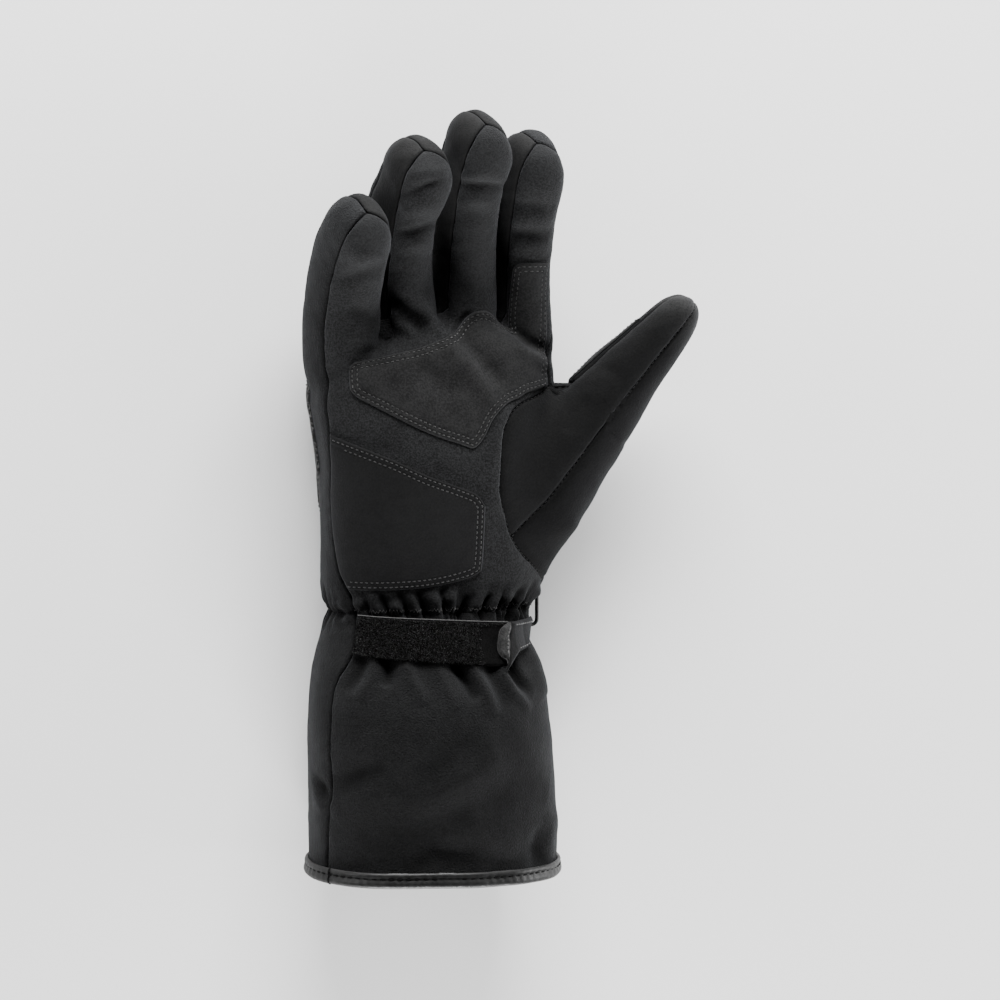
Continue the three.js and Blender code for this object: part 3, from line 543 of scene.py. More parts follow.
PRESSED_Z, PRESSED_OVER = 5.5, 4  # the cloth is pressed flat up to this z, and free this much higher
SHARP_ANGLE = 55  # edges of a body that are sharper than this many degrees stay sharp
FLOOR_CLEAR = 0.02
random = np.random.default_rng(7)
WAVES = {
    size: (unit(random.normal(size=(14, 3))) * 6.28 / size, random.uniform(0, 6.28, 14))
    for size in (6, 16, 42)
}


def ripple(p, size):
    """Soft random ups and downs about as long as size: the mean of sines in many directions."""
    directions, phases = WAVES[size]
    return np.sin(p @ directions.T + phases).sum(-1) / 3.7


def fold_height(p, folds):
    """Sum of bell-shaped ridges and hollows along lines seen from above, each fading out at its ends."""
    total = np.zeros(len(p))
    for height, width, *path in folds:
        path = np.array(path, float)
        a, along = path[:-1], np.diff(path, axis=0)
        length = np.linalg.norm(along, axis=1)
        reached = np.concatenate([[0], np.cumsum(length)])
        d = p[:, None, :2] - a
        t = np.clip((d * along).sum(-1) / length**2, 0, 1)
        off = ((d - t[..., None] * along) ** 2).sum(-1)
        near = off.argmin(1)
        every = np.arange(len(p))
        share = (reached[near] + t[every, near] * length[near]) / reached[-1]
        total += height * (4 * share * (1 - share)) ** 0.6 * np.exp(-off[every, near] / width**2)
    return total


def gather_height(p, facing):
    """Pinched folds above and below the elastic: on the palm side, hollows of their own depth and width that
    fan out from their places, with a narrow pinch beside each, and even ones by angle elsewhere."""
    y = p[:, 1]
    up = np.clip((y - WRIST_Y) / (GATHER_TOP - WRIST_Y), 0, 1)
    down = np.clip((WRIST_Y - y) / (WRIST_Y - GATHER_FOOT), 0, 1)
    strength = (1 - up) ** 1.1 * (1 - down) ** 1.5
    at_elastic, at_top, deep, wide = np.array(GATHERS, float).T
    centre = at_elastic + (at_top - at_elastic) * up[:, None]
    width = wide * (0.95 + 1.4 * up[:, None] + 0.8 * down[:, None])
    off = p[:, :1] - centre
    hollows = (deep * bell(off, width)).sum(1)
    pinches = bell(off - 2.3, 0.7).sum(1) * (1 - up) ** 3
    drawn_in = ELASTIC_DEPTH * bell(y - WRIST_Y, ELASTIC_WIDTH)
    turn = np.radians(hand_angle(p))
    waves = 0.5 + 0.5 * np.cos(GATHERS_ROUND * turn + 1.3 * np.sin(3 * turn))
    palm = 1.8 - 5 * hollows - 1.8 * pinches + 0.7 * ripple(p, 6)
    elsewhere = 0.9 - 2.6 * waves**2.5
    return strength * (elsewhere + (palm - elsewhere) * facing) - drawn_in


def relief(p, n, folds=FOLDS):
    """How far the cloth stands off the smooth shape: folds where it faces up, gathers, and slight waves. It
    is pressed flat where the glove rests."""
    facing = np.clip((n[:, 2] - 0.05) / 0.3, 0, 1)
    wavy = sum(high * ripple(p, size) for high, size in SLIGHT_WAVES)
    free = np.clip((p[:, 2] - PRESSED_Z) / PRESSED_OVER, 0, 1)
    return free * (wavy + facing * fold_height(p, folds) + gather_height(p, facing))


def cells(grid):
    """The four corners of each cell of a grid, all turned so that they face outwards."""
    corners = np.stack([grid[:-1, :-1], grid[:-1, 1:], grid[1:, 1:], grid[1:, :-1]], 2).reshape(-1, 4, 3)
    across = np.cross(corners[:, 2] - corners[:, 0], corners[:, 3] - corners[:, 1])
    return corners if (across * outward(corners.mean(1))).sum() > 0 else corners[:, ::-1]


def sew(grids):
    """Points and triangles of several grids that share their edges: points that round to the same step of
    1/200 mm become one."""
    flat = np.concatenate([cells(grid) for grid in grids]).reshape(-1, 3)
    steps = np.round(flat * 200).astype(int)
    _, first, index = np.unique(steps, axis=0, return_index=True, return_inverse=True)
    quads = index.reshape(-1, 4)
    triangles = np.concatenate([quads[:, [0, 1, 2]], quads[:, [0, 2, 3]]])
    a, b, c = triangles.T
    return flat[first], triangles[(a != b) & (b != c) & (c != a)]


def border(triangles):
    """The edges that only one triangle has, in the direction that it has them."""
    edges = np.concatenate([triangles[:, [0, 1]], triangles[:, [1, 2]], triangles[:, [2, 0]]])
    most = triangles.max() + 1
    codes, turned = edges @ [most, 1], edges @ [1, most]
    return edges[~np.isin(codes, turned)]


def distance_between(p, a, b, reach=10.0):
    """Distance from each point to the nearest of the straight pieces from a to b, up to reach. Points are
    taken in bands along Y, each with only the pieces that are near it."""
    out = np.full(len(p), reach)
    low, high = np.minimum(a, b)[:, 1] - reach, np.maximum(a, b)[:, 1] + reach
    for band in np.array_split(np.argsort(p[:, 1]), max(len(p) // 500, 1)):
        near = (low < p[band, 1].max()) & (high > p[band, 1].min())
        if near.any():
            start, along = a[near], (b - a)[near]
            d = p[band, None] - start
            t = np.clip((d * along).sum(-1) / np.maximum((along**2).sum(1), 1e-9), 0, 1)
            out[band] = np.sqrt(((d - t[..., None] * along) ** 2).sum(-1).min(1))
    return np.minimum(out, reach)


def distance_to(p, line):
    """The same to a line of points."""
    return distance_between(p, line[:-1], line[1:])


def add_piece(name, points, faces, finishes, attributes=(), inner=None):
    """A smooth mesh from points in millimetres, with its materials and the values per point that they
    read. Faces from number inner on take the second material."""
    mesh = bpy.data.meshes.new(name)
    mesh.from_pydata((np.asarray(points) * MM).tolist(), [], np.asarray(faces).tolist())
    mesh.shade_smooth()
    mesh.set_sharp_from_angle(angle=np.radians(SHARP_ANGLE))
    for key, values in attributes:
        mesh.attributes.new(key, "FLOAT", "POINT").data.foreach_set("value", np.asarray(values, np.float32))
    if inner is not None:
        mesh.polygons.foreach_set("material_index", (np.arange(len(faces)) >= inner).astype(np.int32))
    for finish in finishes:
        mesh.materials.append(finish)
    piece = bpy.data.objects.new(name, mesh)
    bpy.context.collection.objects.link(piece)
    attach(piece, "root")
    return piece


def close_sheet(points, triangles, normals, top, bottom, inset=0.0):
    """A closed body from a sheet: its outline drawn in by inset, its outer and inner faces top and bottom
    away from it along the normals, and a strip round the rim. Nothing goes below the floor."""
    edges = border(triangles)
    ends = points[edges[:, 1]] - points[edges[:, 0]]
    pull, count = np.zeros_like(points), np.zeros(len(points))
    for side in (0, 1):
        np.add.at(pull, edges[:, side], unit(np.cross(normals[edges[:, side]], ends)))
        np.add.at(count, edges[:, side], 1)
    size = np.maximum((pull**2).sum(1) / np.maximum(count, 1), 0.35)
    moved = points + pull * (inset / size)[:, None]
    outer = moved + normals * np.reshape(top, (-1, 1))
    inner = moved + normals * np.reshape(bottom, (-1, 1))
    outer[:, 2] = np.maximum(outer[:, 2], FLOOR_CLEAR)
    inner[:, 2] = np.maximum(inner[:, 2], 2 * FLOOR_CLEAR)
    n = len(points)
    v, w = edges.T
    rim = np.concatenate([np.stack([v, v + n, w + n], 1), np.stack([v, w + n, w], 1)])
    return np.concatenate([outer, inner]), np.concatenate([triangles, rim, triangles[:, ::-1] + n])


# painted shade: the cloth is painted darker in the hollows of the folds, and along the elastic where it is
# drawn in
PAINTED_SHADE_DEPTH = 2.2  # a hollow this deep is darkest
# wear with a painted highlight: paler cloth at the tips, and where it faces up below the strap and on the
# fronts of the two middle fingers
WEAR_AND_HIGHLIGHT_TIP, WEAR_AND_HIGHLIGHT_STRAP_Y, WEAR_AND_HIGHLIGHT_STRAP_WIDTH, WEAR_AND_HIGHLIGHT_X, WEAR_AND_HIGHLIGHT_WIDTH, WEAR_AND_HIGHLIGHT_FROM_Y = 12, -72, 10, 5, 17, 70


def painted_shade_of(points, raised):
    """Painted shade on the cloth: darker by the depth of a fold's hollow, and along the elastic."""
    pinched = 0.75 * bell(points[:, 1] - WRIST_Y - 2, 6)
    return np.clip(np.clip(-raised / PAINTED_SHADE_DEPTH, 0, 1) + pinched, 0, 1)


def wear_and_highlight_of(points, normals):
    """How much paler the cloth is, by wear and by a painted highlight: at the five tips, and where it faces
    up, below the strap and on the fronts of the two middle fingers."""
    tips = np.array([digit.point(digit.length, 0.0) for digit in digits + [thumb]]).reshape(-1, 1, 3)
    worn = np.exp(-((points - tips) ** 2).sum(-1) / WEAR_AND_HIGHLIGHT_TIP**2).max(0)
    below_strap = 0.4 * bell(points[:, 1] - WEAR_AND_HIGHLIGHT_STRAP_Y, WEAR_AND_HIGHLIGHT_STRAP_WIDTH)
    fingers = bell(points[:, 0] - WEAR_AND_HIGHLIGHT_X, WEAR_AND_HIGHLIGHT_WIDTH) * np.clip((points[:, 1] - WEAR_AND_HIGHLIGHT_FROM_Y) / 14, 0, 1)
    return np.maximum(worn, np.maximum(below_strap, 0.6 * fingers) * np.clip(normals[:, 2], 0, 1))


def add_panel(name, grids, cloth, folds=FOLDS, seam_depth=SEAM_GROOVE[0]):
    """A panel of padded cloth: the grids sewn together, with a groove along its seams, its relief, and a
    lined wall towards the inside."""
    points, triangles = sew(grids)
    normals = outward(points)
    edges = border(triangles)
    seam = distance_between(points, points[edges[:, 0]], points[edges[:, 1]])
    puckers = 0.1 * ripple(points, 6) * np.exp(-seam / 3)
    groove = seam_depth * bell(seam, SEAM_GROOVE[1]) + SEAM_VALLEY[0] * bell(seam, SEAM_VALLEY[1])
    raised = relief(points, normals, folds)
    height = raised + puckers - groove
    body, faces = close_sheet(points, triangles, normals, height, height - WALL, RIM_INSET)
    # per point: distance to the seam, painted shade in hollows and along the elastic, and wear with a
    # painted highlight
    values = {"seam": seam, "shade": painted_shade_of(points, raised), "worn": wear_and_highlight_of(points, normals)}
    attributes = [(key, np.tile(value, 2)) for key, value in values.items()]
    return add_piece(name, body, faces, (cloth, lining), attributes, inner=len(triangles) + 2 * len(edges))


class Finish:
    """A material in the making. A node's output can be added to, multiplied and so on, which adds Math
    nodes."""

    def __init__(self, name):
        self.material = bpy.data.materials.new(name)
        self.material.use_nodes = True
        self.nodes = self.material.node_tree.nodes
        self.links = self.material.node_tree.links
        self.shader = self.nodes["Principled BSDF"]
        self.place = None

    def node(self, kind, settings=None, inputs=None, out=0):
        """Any node: its settings first, then the values or links of its sockets. Returns one output."""
        node = self.nodes.new(kind)
        for key, value in (settings or {}).items():
            if key == "stops":
                while len(node.color_ramp.elements) < len(value):
                    node.color_ramp.elements.new(0.5)
                for element, (place, colour) in zip(node.color_ramp.elements, value):
                    element.position = place
                    element.color = colour
            else:
                setattr(node, key, value)
        for key, value in (inputs or {}).items():
            self.put(node.inputs[key], value)
        return Output(self, node.outputs[out])

    def put(self, socket, value):
        """Sets a socket to a value, or links it to an output."""
        if isinstance(value, Output):
            self.links.new(value.socket, socket)
        else:
            socket.default_value = value

    def surface(self, **values):
        """Sets sockets of the main shader, with _ for the spaces in their names."""
        for key, value in values.items():
            self.put(self.shader.inputs[key.replace("_", " ")], value)
        return self.material

    def pattern(self, kind, settings, size, inputs):
        """A pattern in Object coordinates whose lumps are about size millimetres."""
        if self.place is None:
            self.place = self.node("ShaderNodeTexCoord", out="Object")
        return self.node(kind, settings, {"Vector": self.place, "Scale": 1 / (size * MM), **inputs})

    def noise(self, size, detail=2.0, roughness=0.5):
        """Cloudy noise."""
        inputs = {"Detail": detail, "Roughness": roughness}
        return self.pattern("ShaderNodeTexNoise", {"noise_dimensions": "3D"}, size, inputs)

    def pebbles(self, size):
        """Round cells, dark in the middle."""
        return self.pattern("ShaderNodeTexVoronoi", {"feature": "F1"}, size, {})

    def painted(self, attribute):
        """The value that a point of the piece carries."""
        return self.node("ShaderNodeAttribute", {"attribute_name": attribute}, out="Fac")

    def mix(self, factor, a, b):
        """A colour between a and b."""
        return self.node("ShaderNodeMix", {"data_type": "RGBA"}, {0: factor, 6: a, 7: b}, out=2)

    def smooth(self, value, lo, hi):
        """0 below lo, 1 above hi, and an even curve between."""
        settings = {"interpolation_type": "SMOOTHSTEP"}
        return self.node("ShaderNodeMapRange", settings, {"Value": value, "From Min": lo, "From Max": hi})

    def bump(self, height, depth, normal=None, strength=1.0):
        """A bump of depth millimetres for height 1."""
        inputs = {"Height": height, "Distance": depth * MM, "Strength": strength}
        if normal is not None:
            inputs["Normal"] = normal
        return self.node("ShaderNodeBump", None, inputs)


class Output:
    """An output of a node, with arithmetic."""

    def __init__(self, finish, socket):
        self.finish, self.socket = finish, socket

    def math(self, operation, a, b):
        """A Math node on two values or outputs."""
        return self.finish.node("ShaderNodeMath", {"operation": operation}, {0: a, 1: b})

    def __add__(self, other):
        return self.math("ADD", self, other)

    __radd__ = __add__

    def __mul__(self, other):
        return self.math("MULTIPLY", self, other)

    __rmul__ = __mul__

    def __sub__(self, other):
        return self.math("SUBTRACT", self, other)

    def __rsub__(self, other):
        return self.math("SUBTRACT", other, self)


def grey(value, blue=0.0):
    """A near-black with a little blue in it."""
    return (value, value * (1 + 0.5 * blue), value * (1 + 1.6 * blue), 1)


def softshell(name, value, blue, grain=1.0, wear_and_highlight_value=0.014):
    """Knitted softshell: fine ribs and loops, a slight nap that catches light at the edges, paler cloth
    where it is rubbed and where a painted highlight is put, and painted shade that darkens the cloth in the
    seams and in the hollows of the folds."""
    make = Finish(name)
    seam, shade, worn = make.painted("seam"), make.painted("shade"), make.painted("worn")
    fleck = make.noise(0.75, 3, 0.75)
    tone = 0.12 * make.noise(9, 3) + 0.88 * fleck
    cloth = make.mix(make.smooth(tone, 0.37, 0.63), grey(value * 0.25, blue), grey(value * 2, blue))
    # paler cloth at the tips and where it faces up: wear with a painted highlight
    cloth = make.mix(worn * make.smooth(tone, 0.2, 0.6), cloth, grey(wear_and_highlight_value, blue))
    # painted shade in the hollows of the folds and along the elastic
    painted_shade_cloth = make.mix(shade * 0.8, cloth, grey(value * 0.15, blue))
    # darker cloth close to the seams: painted shade down in the seam groove
    colour = make.mix(make.smooth(seam, 0.1, 0.6), grey(value * 0.2, blue), painted_shade_cloth)
    fine = make.bump(0.6 * make.pebbles(0.62) + 0.5 * fleck, 0.26 * grain)
    normal = make.bump(make.noise(4.5, 2), 0.22, fine, 0.5)
    return make.surface(
        Base_Color=colour,
        Roughness=0.78 + 0.14 * make.smooth(fleck, 0.3, 0.7),
        Normal=normal,
        Specular_IOR_Level=0.1,
        Sheen_Weight=0.04,
        Sheen_Roughness=0.45,
        Sheen_Tint=(0.9, 0.93, 1, 1),
    )


def lining_cloth():
    """Brushed black lining."""
    make = Finish("lining_cloth")
    fuzz = make.noise(0.9, 3, 0.7)
    colour = make.mix(make.smooth(fuzz, 0.3, 0.7), grey(0.008), grey(0.018))
    return make.surface(
        Base_Color=colour,
        Roughness=0.95,
        Normal=make.bump(fuzz, 0.5),
        Specular_IOR_Level=0.1,
        Sheen_Weight=0.15,
    )


lining = lining_cloth()
palm = add_panel(
    "palm_and_finger_fronts",
    [palm_grid] + [grid[:, :RIGHT_AT + 1] for grid in finger_grids],
    softshell("palm_cloth", 0.0075, 0.04, 1.2),
)
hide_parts("palm_panel", "pinky_front", "ring_front", "middle_front", "index_front")


# Back of the hand and of the fingers
# A second panel of the same softshell, a little darker, with the outer sides of the little finger and the
# index finger cut in one with it.
def side_parts(k, side, cap):
    """One side of a finger, between two of its columns, and the half of its tip's back beyond it."""
    return [
        finger_grids[k][:, side[0]:side[1] + 1],
        finger_grids[k][STRAIGHT_ROWS:, cap[0]:cap[1] + 1],
    ]


RIGHT_SIDE = (RIGHT_AT, BACK_AT), (BACK_AT, MIDDLE_AT)
LEFT_SIDE = (LEFT_AT, END_AT), (MIDDLE_AT, LEFT_AT)
back_parts = [back_grid] + [grid[:STRAIGHT_ROWS + 1, BACK_AT:LEFT_AT + 1] for grid in finger_grids]
# the back's softshell is painted darker than the palm's: painted shade on the side of the hand
back = add_panel(
    "back_and_finger_backs",
    back_parts + side_parts(0, *LEFT_SIDE) + side_parts(3, *RIGHT_SIDE),
    softshell("back_shaded_cloth", 0.0034, 0.05, 1.7, 0.02),
    folds=(),
)
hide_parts("back_panel", "pinky_back", "ring_back", "middle_back", "index_back")


# Strips between the fingers
# Each slit between two fingers is lined with one long strip of thinner stretch cloth, which runs up the
# side of one finger, over its tip, and down to the bottom of the slit and up the next.
# the slit strips are painted much darker than the palm's cloth: painted shade down between the fingers
slit_shade_cloth = softshell("slit_shade_cloth", 0.0016, 0.0, 0.6, 0.015)
for k, name in enumerate(["ring_pinky", "middle_ring", "index_middle"]):
    right, right_cap = side_parts(k, *RIGHT_SIDE)
    left, left_cap = side_parts(k + 1, *LEFT_SIDE)
    parts = [right, left, slit_grids[k], right_cap, left_cap]
    strip = add_panel("strip_" + name, parts, slit_shade_cloth, folds=(), seam_depth=0.6)
    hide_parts("fourchette_" + name)


# Thumb
# The thumb is two panels of black suede set into a ring cut in the palm and back: one on the palm side,
# and one that wraps round the outside from a slanting seam to the edge that faces the index finger.
THUMB_EDGE, THUMB_FRONT = -62, 22  # angles of its two seams
THUMB_FULL = 46  # from here on along the thumb its rows are plain rings
SPLIT_Y = -13.5  # where the slanting seam meets the ring
THUMB_SPLIT, THUMB_AROUND = 50, 140  # columns of the palm-side panel, and of both
THUMB_BASE_ROWS, THUMB_ROWS, THUMB_CAP_ROWS = 30, 34, 16
ring_rows = TOP_ROWS + len(upper_rows) - 1 + np.arange(len(thumb_rows))
root_line = np.concatenate([palm_grid[ring_rows, -1], back_grid[ring_rows, -1][::-1]])


def along_line(line):
    """Length along a line up to each of its points."""
    return np.concatenate([[0], np.cumsum(np.linalg.norm(np.diff(line, axis=0), axis=1))])


def resample(line, lengths):
    """Points of a line at given lengths along it."""
    run = along_line(line)
    return np.stack([np.interp(lengths, run, line[:, i]) for i in range(line.shape[1])], -1)


root_run = along_line(root_line)
split_run = np.interp(-SPLIT_Y, -thumb_rows, root_run[:len(thumb_rows)])
ring_lengths = np.concatenate([
    closer_at_ends(THUMB_SPLIT, 0, split_run, 0.5)[:-1],
    closer_at_ends(THUMB_AROUND - THUMB_SPLIT, split_run, root_run[-1], 0.5),
])
ring_points = resample(root_line, ring_lengths)
ring_angles = np.degrees(np.unwrap(np.radians(thumb.angle(ring_points))))
target_angles = np.concatenate([
    closer_at_ends(THUMB_SPLIT, THUMB_EDGE, THUMB_FRONT, 0.5)[:-1],
    closer_at_ends(THUMB_AROUND - THUMB_SPLIT, THUMB_FRONT, THUMB_EDGE + 360, 0.5),
])
t = np.linspace(0, 1, THUMB_BASE_ROWS + 1)[1:-1, None]
ring_along = thumb.local(ring_points)[0]
offset = ring_points - thumb.point(ring_along, ring_angles)
rising = thumb.point(
    ring_along + (THUMB_FULL - ring_along) * t,
    ring_angles + (target_angles - ring_angles) * (1 - (1 - t) ** 1.7),
)
thumb_base = settle(rising + offset * (1 - t[..., None]) ** 2)
upper_along = digit_rows(thumb, THUMB_FULL, THUMB_ROWS, THUMB_CAP_ROWS)[:, None]
thumb_upper = settle(thumb.point(upper_along, target_angles))
thumb_grid = np.concatenate([ring_points[None], thumb_base, thumb_upper])
THUMB_FOLDS = [
    # as FOLDS
    (-0.8, 4, (50, 28), (53, 36), (60, 42)),
    (0.6, 4, (58, 22), (64, 32), (72, 42)),
    (-0.5, 3, (62, 57), (70, 52), (76, 44)),
]


def suede(name, value, blue=0.0, grain=1.0, shine=0.11):
    """Fine suede: a short nap brushed one way and another, so that its tone is cloudy, over a pebbled skin,
    paler where it is rubbed and where a painted highlight is put, and darker along its seams and cut edges
    as painted shade."""
    make = Finish(name)
    brushed, nap = make.noise(6, 4, 0.6), make.noise(0.8, 3, 0.75)
    tone = make.smooth(0.3 * brushed + 0.7 * nap, 0.38, 0.62)
    skin = make.mix(tone, grey(value * 0.4, blue), grey(value * 1.8, blue))
    # paler suede at the tips: wear with a painted highlight
    skin = make.mix(make.painted("worn") * make.smooth(nap, 0.2, 0.6), skin, grey(0.04))
    # darker suede close to its seams and cut edges: painted shade along them
    colour = make.mix(make.smooth(make.painted("seam"), 0.05, 0.5), grey(value * 0.4, blue), skin)
    return make.surface(
        Base_Color=colour,
        Roughness=0.74 + 0.16 * brushed,
        Normal=make.bump(0.6 * nap + 0.4 * make.pebbles(0.8), 0.18 * grain),
        Specular_IOR_Level=shine,
        Sheen_Weight=shine / 2,
        Sheen_Roughness=0.5,
        Sheen_Tint=(0.9, 0.92, 1, 1),
    )


THUMB_PANELS = [
    # name, the CAD node, its first and last column, its suede's name, value and shine
    ("thumb_front", "thumb_palm_panel", 0, THUMB_SPLIT, "thumb_suede", 0.0016, 0.09),
    # the wrap's suede is painted darker than the front's: painted shade over the outside of the thumb
    ("thumb_wrap", "thumb_outer_panel", THUMB_SPLIT, THUMB_AROUND, "thumb_wrap_shaded_suede", 0.0012, 0.065),
]
for name, node, first, last, look, value, shine in THUMB_PANELS:
    thumb_suede = suede(look, value, 0, 1.2, shine)
    panel = add_panel(name, [thumb_grid[:, first:last + 1]], thumb_suede, THUMB_FOLDS, seam_depth=0.7)
    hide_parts(node)


# Cuff
# The long gauntlet cuff is two softshell panels sewn down both sides. Below the wrist strap the cloth that
# the strap draws in springs out in darts and soft folds.
CUFF_START_Y, CUFF_MIDDLE_Y, CUFF_END_Y = WRIST_Y + 0.5, -86, -147.4
HEM_FROM_X, HEM_SLOPE, LEAN_FROM_Y = -16, 0.05, -96
CUFF_FOLDS = [
    # as FOLDS
    (-3.4, 2.4, (-26, -52), (-26, -63), (-27.5, -71)),
    (1.4, 2.8, (-31, -56), (-33.5, -66), (-39, -76)),
    (1.6, 2.8, (-20.5, -56), (-18.5, -67), (-13, -78)),
    (-3.4, 2.1, (-4, -52), (0.5, -63), (5.7, -71), (8.5, -77.5)),
    (1.8, 2.8, (3.5, -57), (8.5, -66), (13, -75), (16, -84)),
    (1, 3.2, (-9, -57), (-5, -68), (0, -80)),
    (2, 2.1, (19.5, -57), (21.5, -69), (25.8, -76), (33, -83.5)),
    (-3.4, 2.2, (25, -57), (26.3, -67), (30, -72.5), (35, -77)),
    (2.4, 3.6, (33, -55), (39, -67), (43.5, -80)),
    (-1.8, 2.6, (-33, -56), (-36.5, -66), (-42, -74)),
    (-1.5, 3.2, (13, -58), (16, -69), (22, -82)),
    (-2.4, 1.8, (-56, -105), (-52.5, -111), (-50, -118)),
    (1.6, 2.4, (-57, -110), (-54, -116), (-51, -122)),
    (-1.5, 4.5, (-51, -114), (-42, -107), (-29, -101)),
    (1.1, 5, (-49, -103), (-40, -97), (-28, -92)),
    (0.9, 6, (-48, -124), (-38, -117), (-26, -110)),
    (-1, 5, (-24, -145), (-12, -138), (4, -141)),
    (0.8, 6, (-12, -134), (4, -130), (24, -138)),
    (-1.2, 8, (6, -122), (22, -112), (40, -118)),
    (1.2, 9, (-27, -127), (-5, -112), (17, -98)),
    (-1.1, 9, (-36, -138), (-18, -125), (4, -118)),
    (-1, 7, (-20, -108), (-4, -98), (12, -92)),
    (1.9, 4.4, (43, -126), (40, -136), (41, -146)),
    (-1.8, 4, (36, -130), (33, -138), (34, -147)),
]
cuff_y = np.concatenate([
    np.linspace(CUFF_START_Y, CUFF_MIDDLE_Y, 76)[:-1],
    np.linspace(CUFF_MIDDLE_Y, CUFF_END_Y, 44),
])


def hem_drop(x):
    """How much lower the hem is towards the thumb side."""
    return HEM_SLOPE * np.maximum(x - HEM_FROM_X, 0)


def cuff_grid(left, right, count):
    """Points of the cuff between two seams, whose rows lean over as they near the slanting hem."""
    y = cuff_y[:, None]
    angle = left(y) + (right(y) - left(y)) * closer_at_ends(count, 0, 1, 0.5)
    lean = np.clip((LEAN_FROM_Y - y) / (LEAN_FROM_Y - CUFF_END_Y), 0, 1)
    return hand_point(y - lean * hem_drop(hand_point(y, angle)[..., 0]), angle)


cuff_cloth = softshell("cuff_cloth", 0.0039, 0.03, 1.7)
CUFF_SIDES = [
    # name, the CAD node, its two seams, columns
    ("cuff_palm_side", "cuff_palm_panel", side_seam, thumb_side, 168),
    ("cuff_back_side", "cuff_back_panel", thumb_side, lambda y: side_seam(y) + 360, 124),
]
for name, node, first, last, count in CUFF_SIDES:
    cuff = add_panel(name, [cuff_grid(first, last, count)], cuff_cloth, CUFF_FOLDS)
    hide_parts(node)


# Palm patch
# A reinforcing patch of suede lies over the roots of the fingers, with a tongue up the index finger. Its
# edge is cut, and it is held by two rows of lockstitch in a lighter grey thread.
PATCH_EDGE = [
    # x, lower y, upper y
    [-38.8, 46, 55.4], [-37, 43.6, 57], [-28, 38.6, 58.4], [-17, 32.8, 61],
    [-7, 28.2, 63.8], [2.5, 25, 67], [6.5, 23.6, 70.6], [9.5, 22.9, 74.6],
    [13.5, 26.6, 77], [18, 34.4, 77.2], [22, 38.6, 74.6], [25.5, 40.9, 71.2],
    [29.6, 42.4, 70], [33.5, 44.4, 70], [38, 45.4, 70], [43.8, 46.8, 70],
]
TONGUE_X, TONGUE_TOP, TONGUE_CORNER = 29.6, 96.6, 3  # its left edge, its top, the radius of a corner
TONGUE_TOP_LEFT, TONGUE_TOP_RIGHT = 29.8, 43.4
PATCH_THICK = 1.15
PATCH_GAP = 0.05  # between a patch and the cloth
STITCH_ROWS = (1.3, 3.25)  # millimetres from the edge
STITCH_PULL, STITCH_PULL_WIDTH = 0.22, 0.55  # how far a row of stitches draws the suede down
IN_SEAM_DEPTH, IN_SEAM_WIDTH = 1.3, 0.9  # how far a patch goes down into a seam that it is caught in
FROM_Z, TO_Z = 33, 95  # from inside the hand to well above it


def above(x, y):
    """The point of the palm straight above x, y."""
    x, y = np.broadcast_arrays(np.asarray(x, float), np.asarray(y, float))
    return leave(np.stack([x, y, 0 * x + FROM_Z], -1), np.stack([x, y, 0 * x + TO_Z], -1))


def lay_patch(name, grids, outline, thick, finish, folds=FOLDS, rows=STITCH_ROWS, caught=0):
    """A thin patch on the cloth: it follows the cloth's relief, thins at its cut edge, is drawn down a
    little along its rows of stitches, and goes down into the seam that the last points of its outline,
    as many as caught, lie in."""
    points, triangles = sew(grids)
    normals = outward(points)
    edge = distance_to(points, outline[:len(outline) - caught])
    height = relief(points, normals, folds)
    if caught:
        seam = distance_to(points, outline[-caught - 1:])
        height -= IN_SEAM_DEPTH * bell(seam, IN_SEAM_WIDTH) + SEAM_VALLEY[0] * bell(seam, SEAM_VALLEY[1])
    top = height + thick * (1 - 0.5 * bell(edge, 0.4))
    for row in rows:
        top -= STITCH_PULL * bell(edge - row, STITCH_PULL_WIDTH)
    body, faces = close_sheet(points, triangles, normals, top, height + PATCH_GAP)
    return add_piece(name, body, faces, [finish], [("seam", np.tile(edge + 0.2, 2))])


def strands(paths, radii, normals, sides):
    """Joined tubes, one along each path, as points and triangles: rings of a few points, closed at each
    end by a point."""
    count, length, _ = paths.shape
    tangent = unit(np.gradient(paths, axis=1))
    side = unit(np.cross(tangent, normals[:, None]))
    up = np.cross(side, tangent)
    turn = np.arange(sides) * 2 * np.pi / sides
    ring = side[:, :, None] * np.cos(turn)[:, None] + up[:, :, None] * np.sin(turn)[:, None]
    rings = paths[:, :, None] + ring * np.broadcast_to(radii, (count, length))[..., None, None]
    points = np.concatenate([rings.reshape(count, -1, 3), paths[:, :1], paths[:, -1:]], 1)
    i, j = np.meshgrid(np.arange(length - 1), np.arange(sides), indexing="ij")
    a, b = (i * sides + j).ravel(), (i * sides + (j + 1) % sides).ravel()
    first, last = length * sides, length * sides + 1
    j, k = np.arange(sides), (np.arange(sides) + 1) % sides
    end = (length - 1) * sides
    one = np.concatenate([
        np.stack([a, b, b + sides], 1),
        np.stack([a, b + sides, a + sides], 1),
        np.stack([j * 0 + first, k, j], 1),
        np.stack([j * 0 + last, j + end, k + end], 1),
    ])
    faces = one[None] + (np.arange(count) * points.shape[1])[:, None, None]
    return points.reshape(-1, 3), faces.reshape(-1, 3)


def inner_line(outline, distance, closed=True):
    """A line on the cloth at a distance inside a closed outline: the outline moved inwards, without the
    points that come too near its other parts."""
    middle = outline[:-1]
    run = np.roll(middle, -1, 0) - np.roll(middle, 1, 0)
    moved = settle(middle + unit(np.cross(outward(middle), run)) * distance)
    kept = distance_to(moved, outline) > distance * 0.95
    line = moved[kept]
    return np.concatenate([line, line[:1]]) if closed else line


STITCH_POINTS, STITCH_SIDES = 7, 6


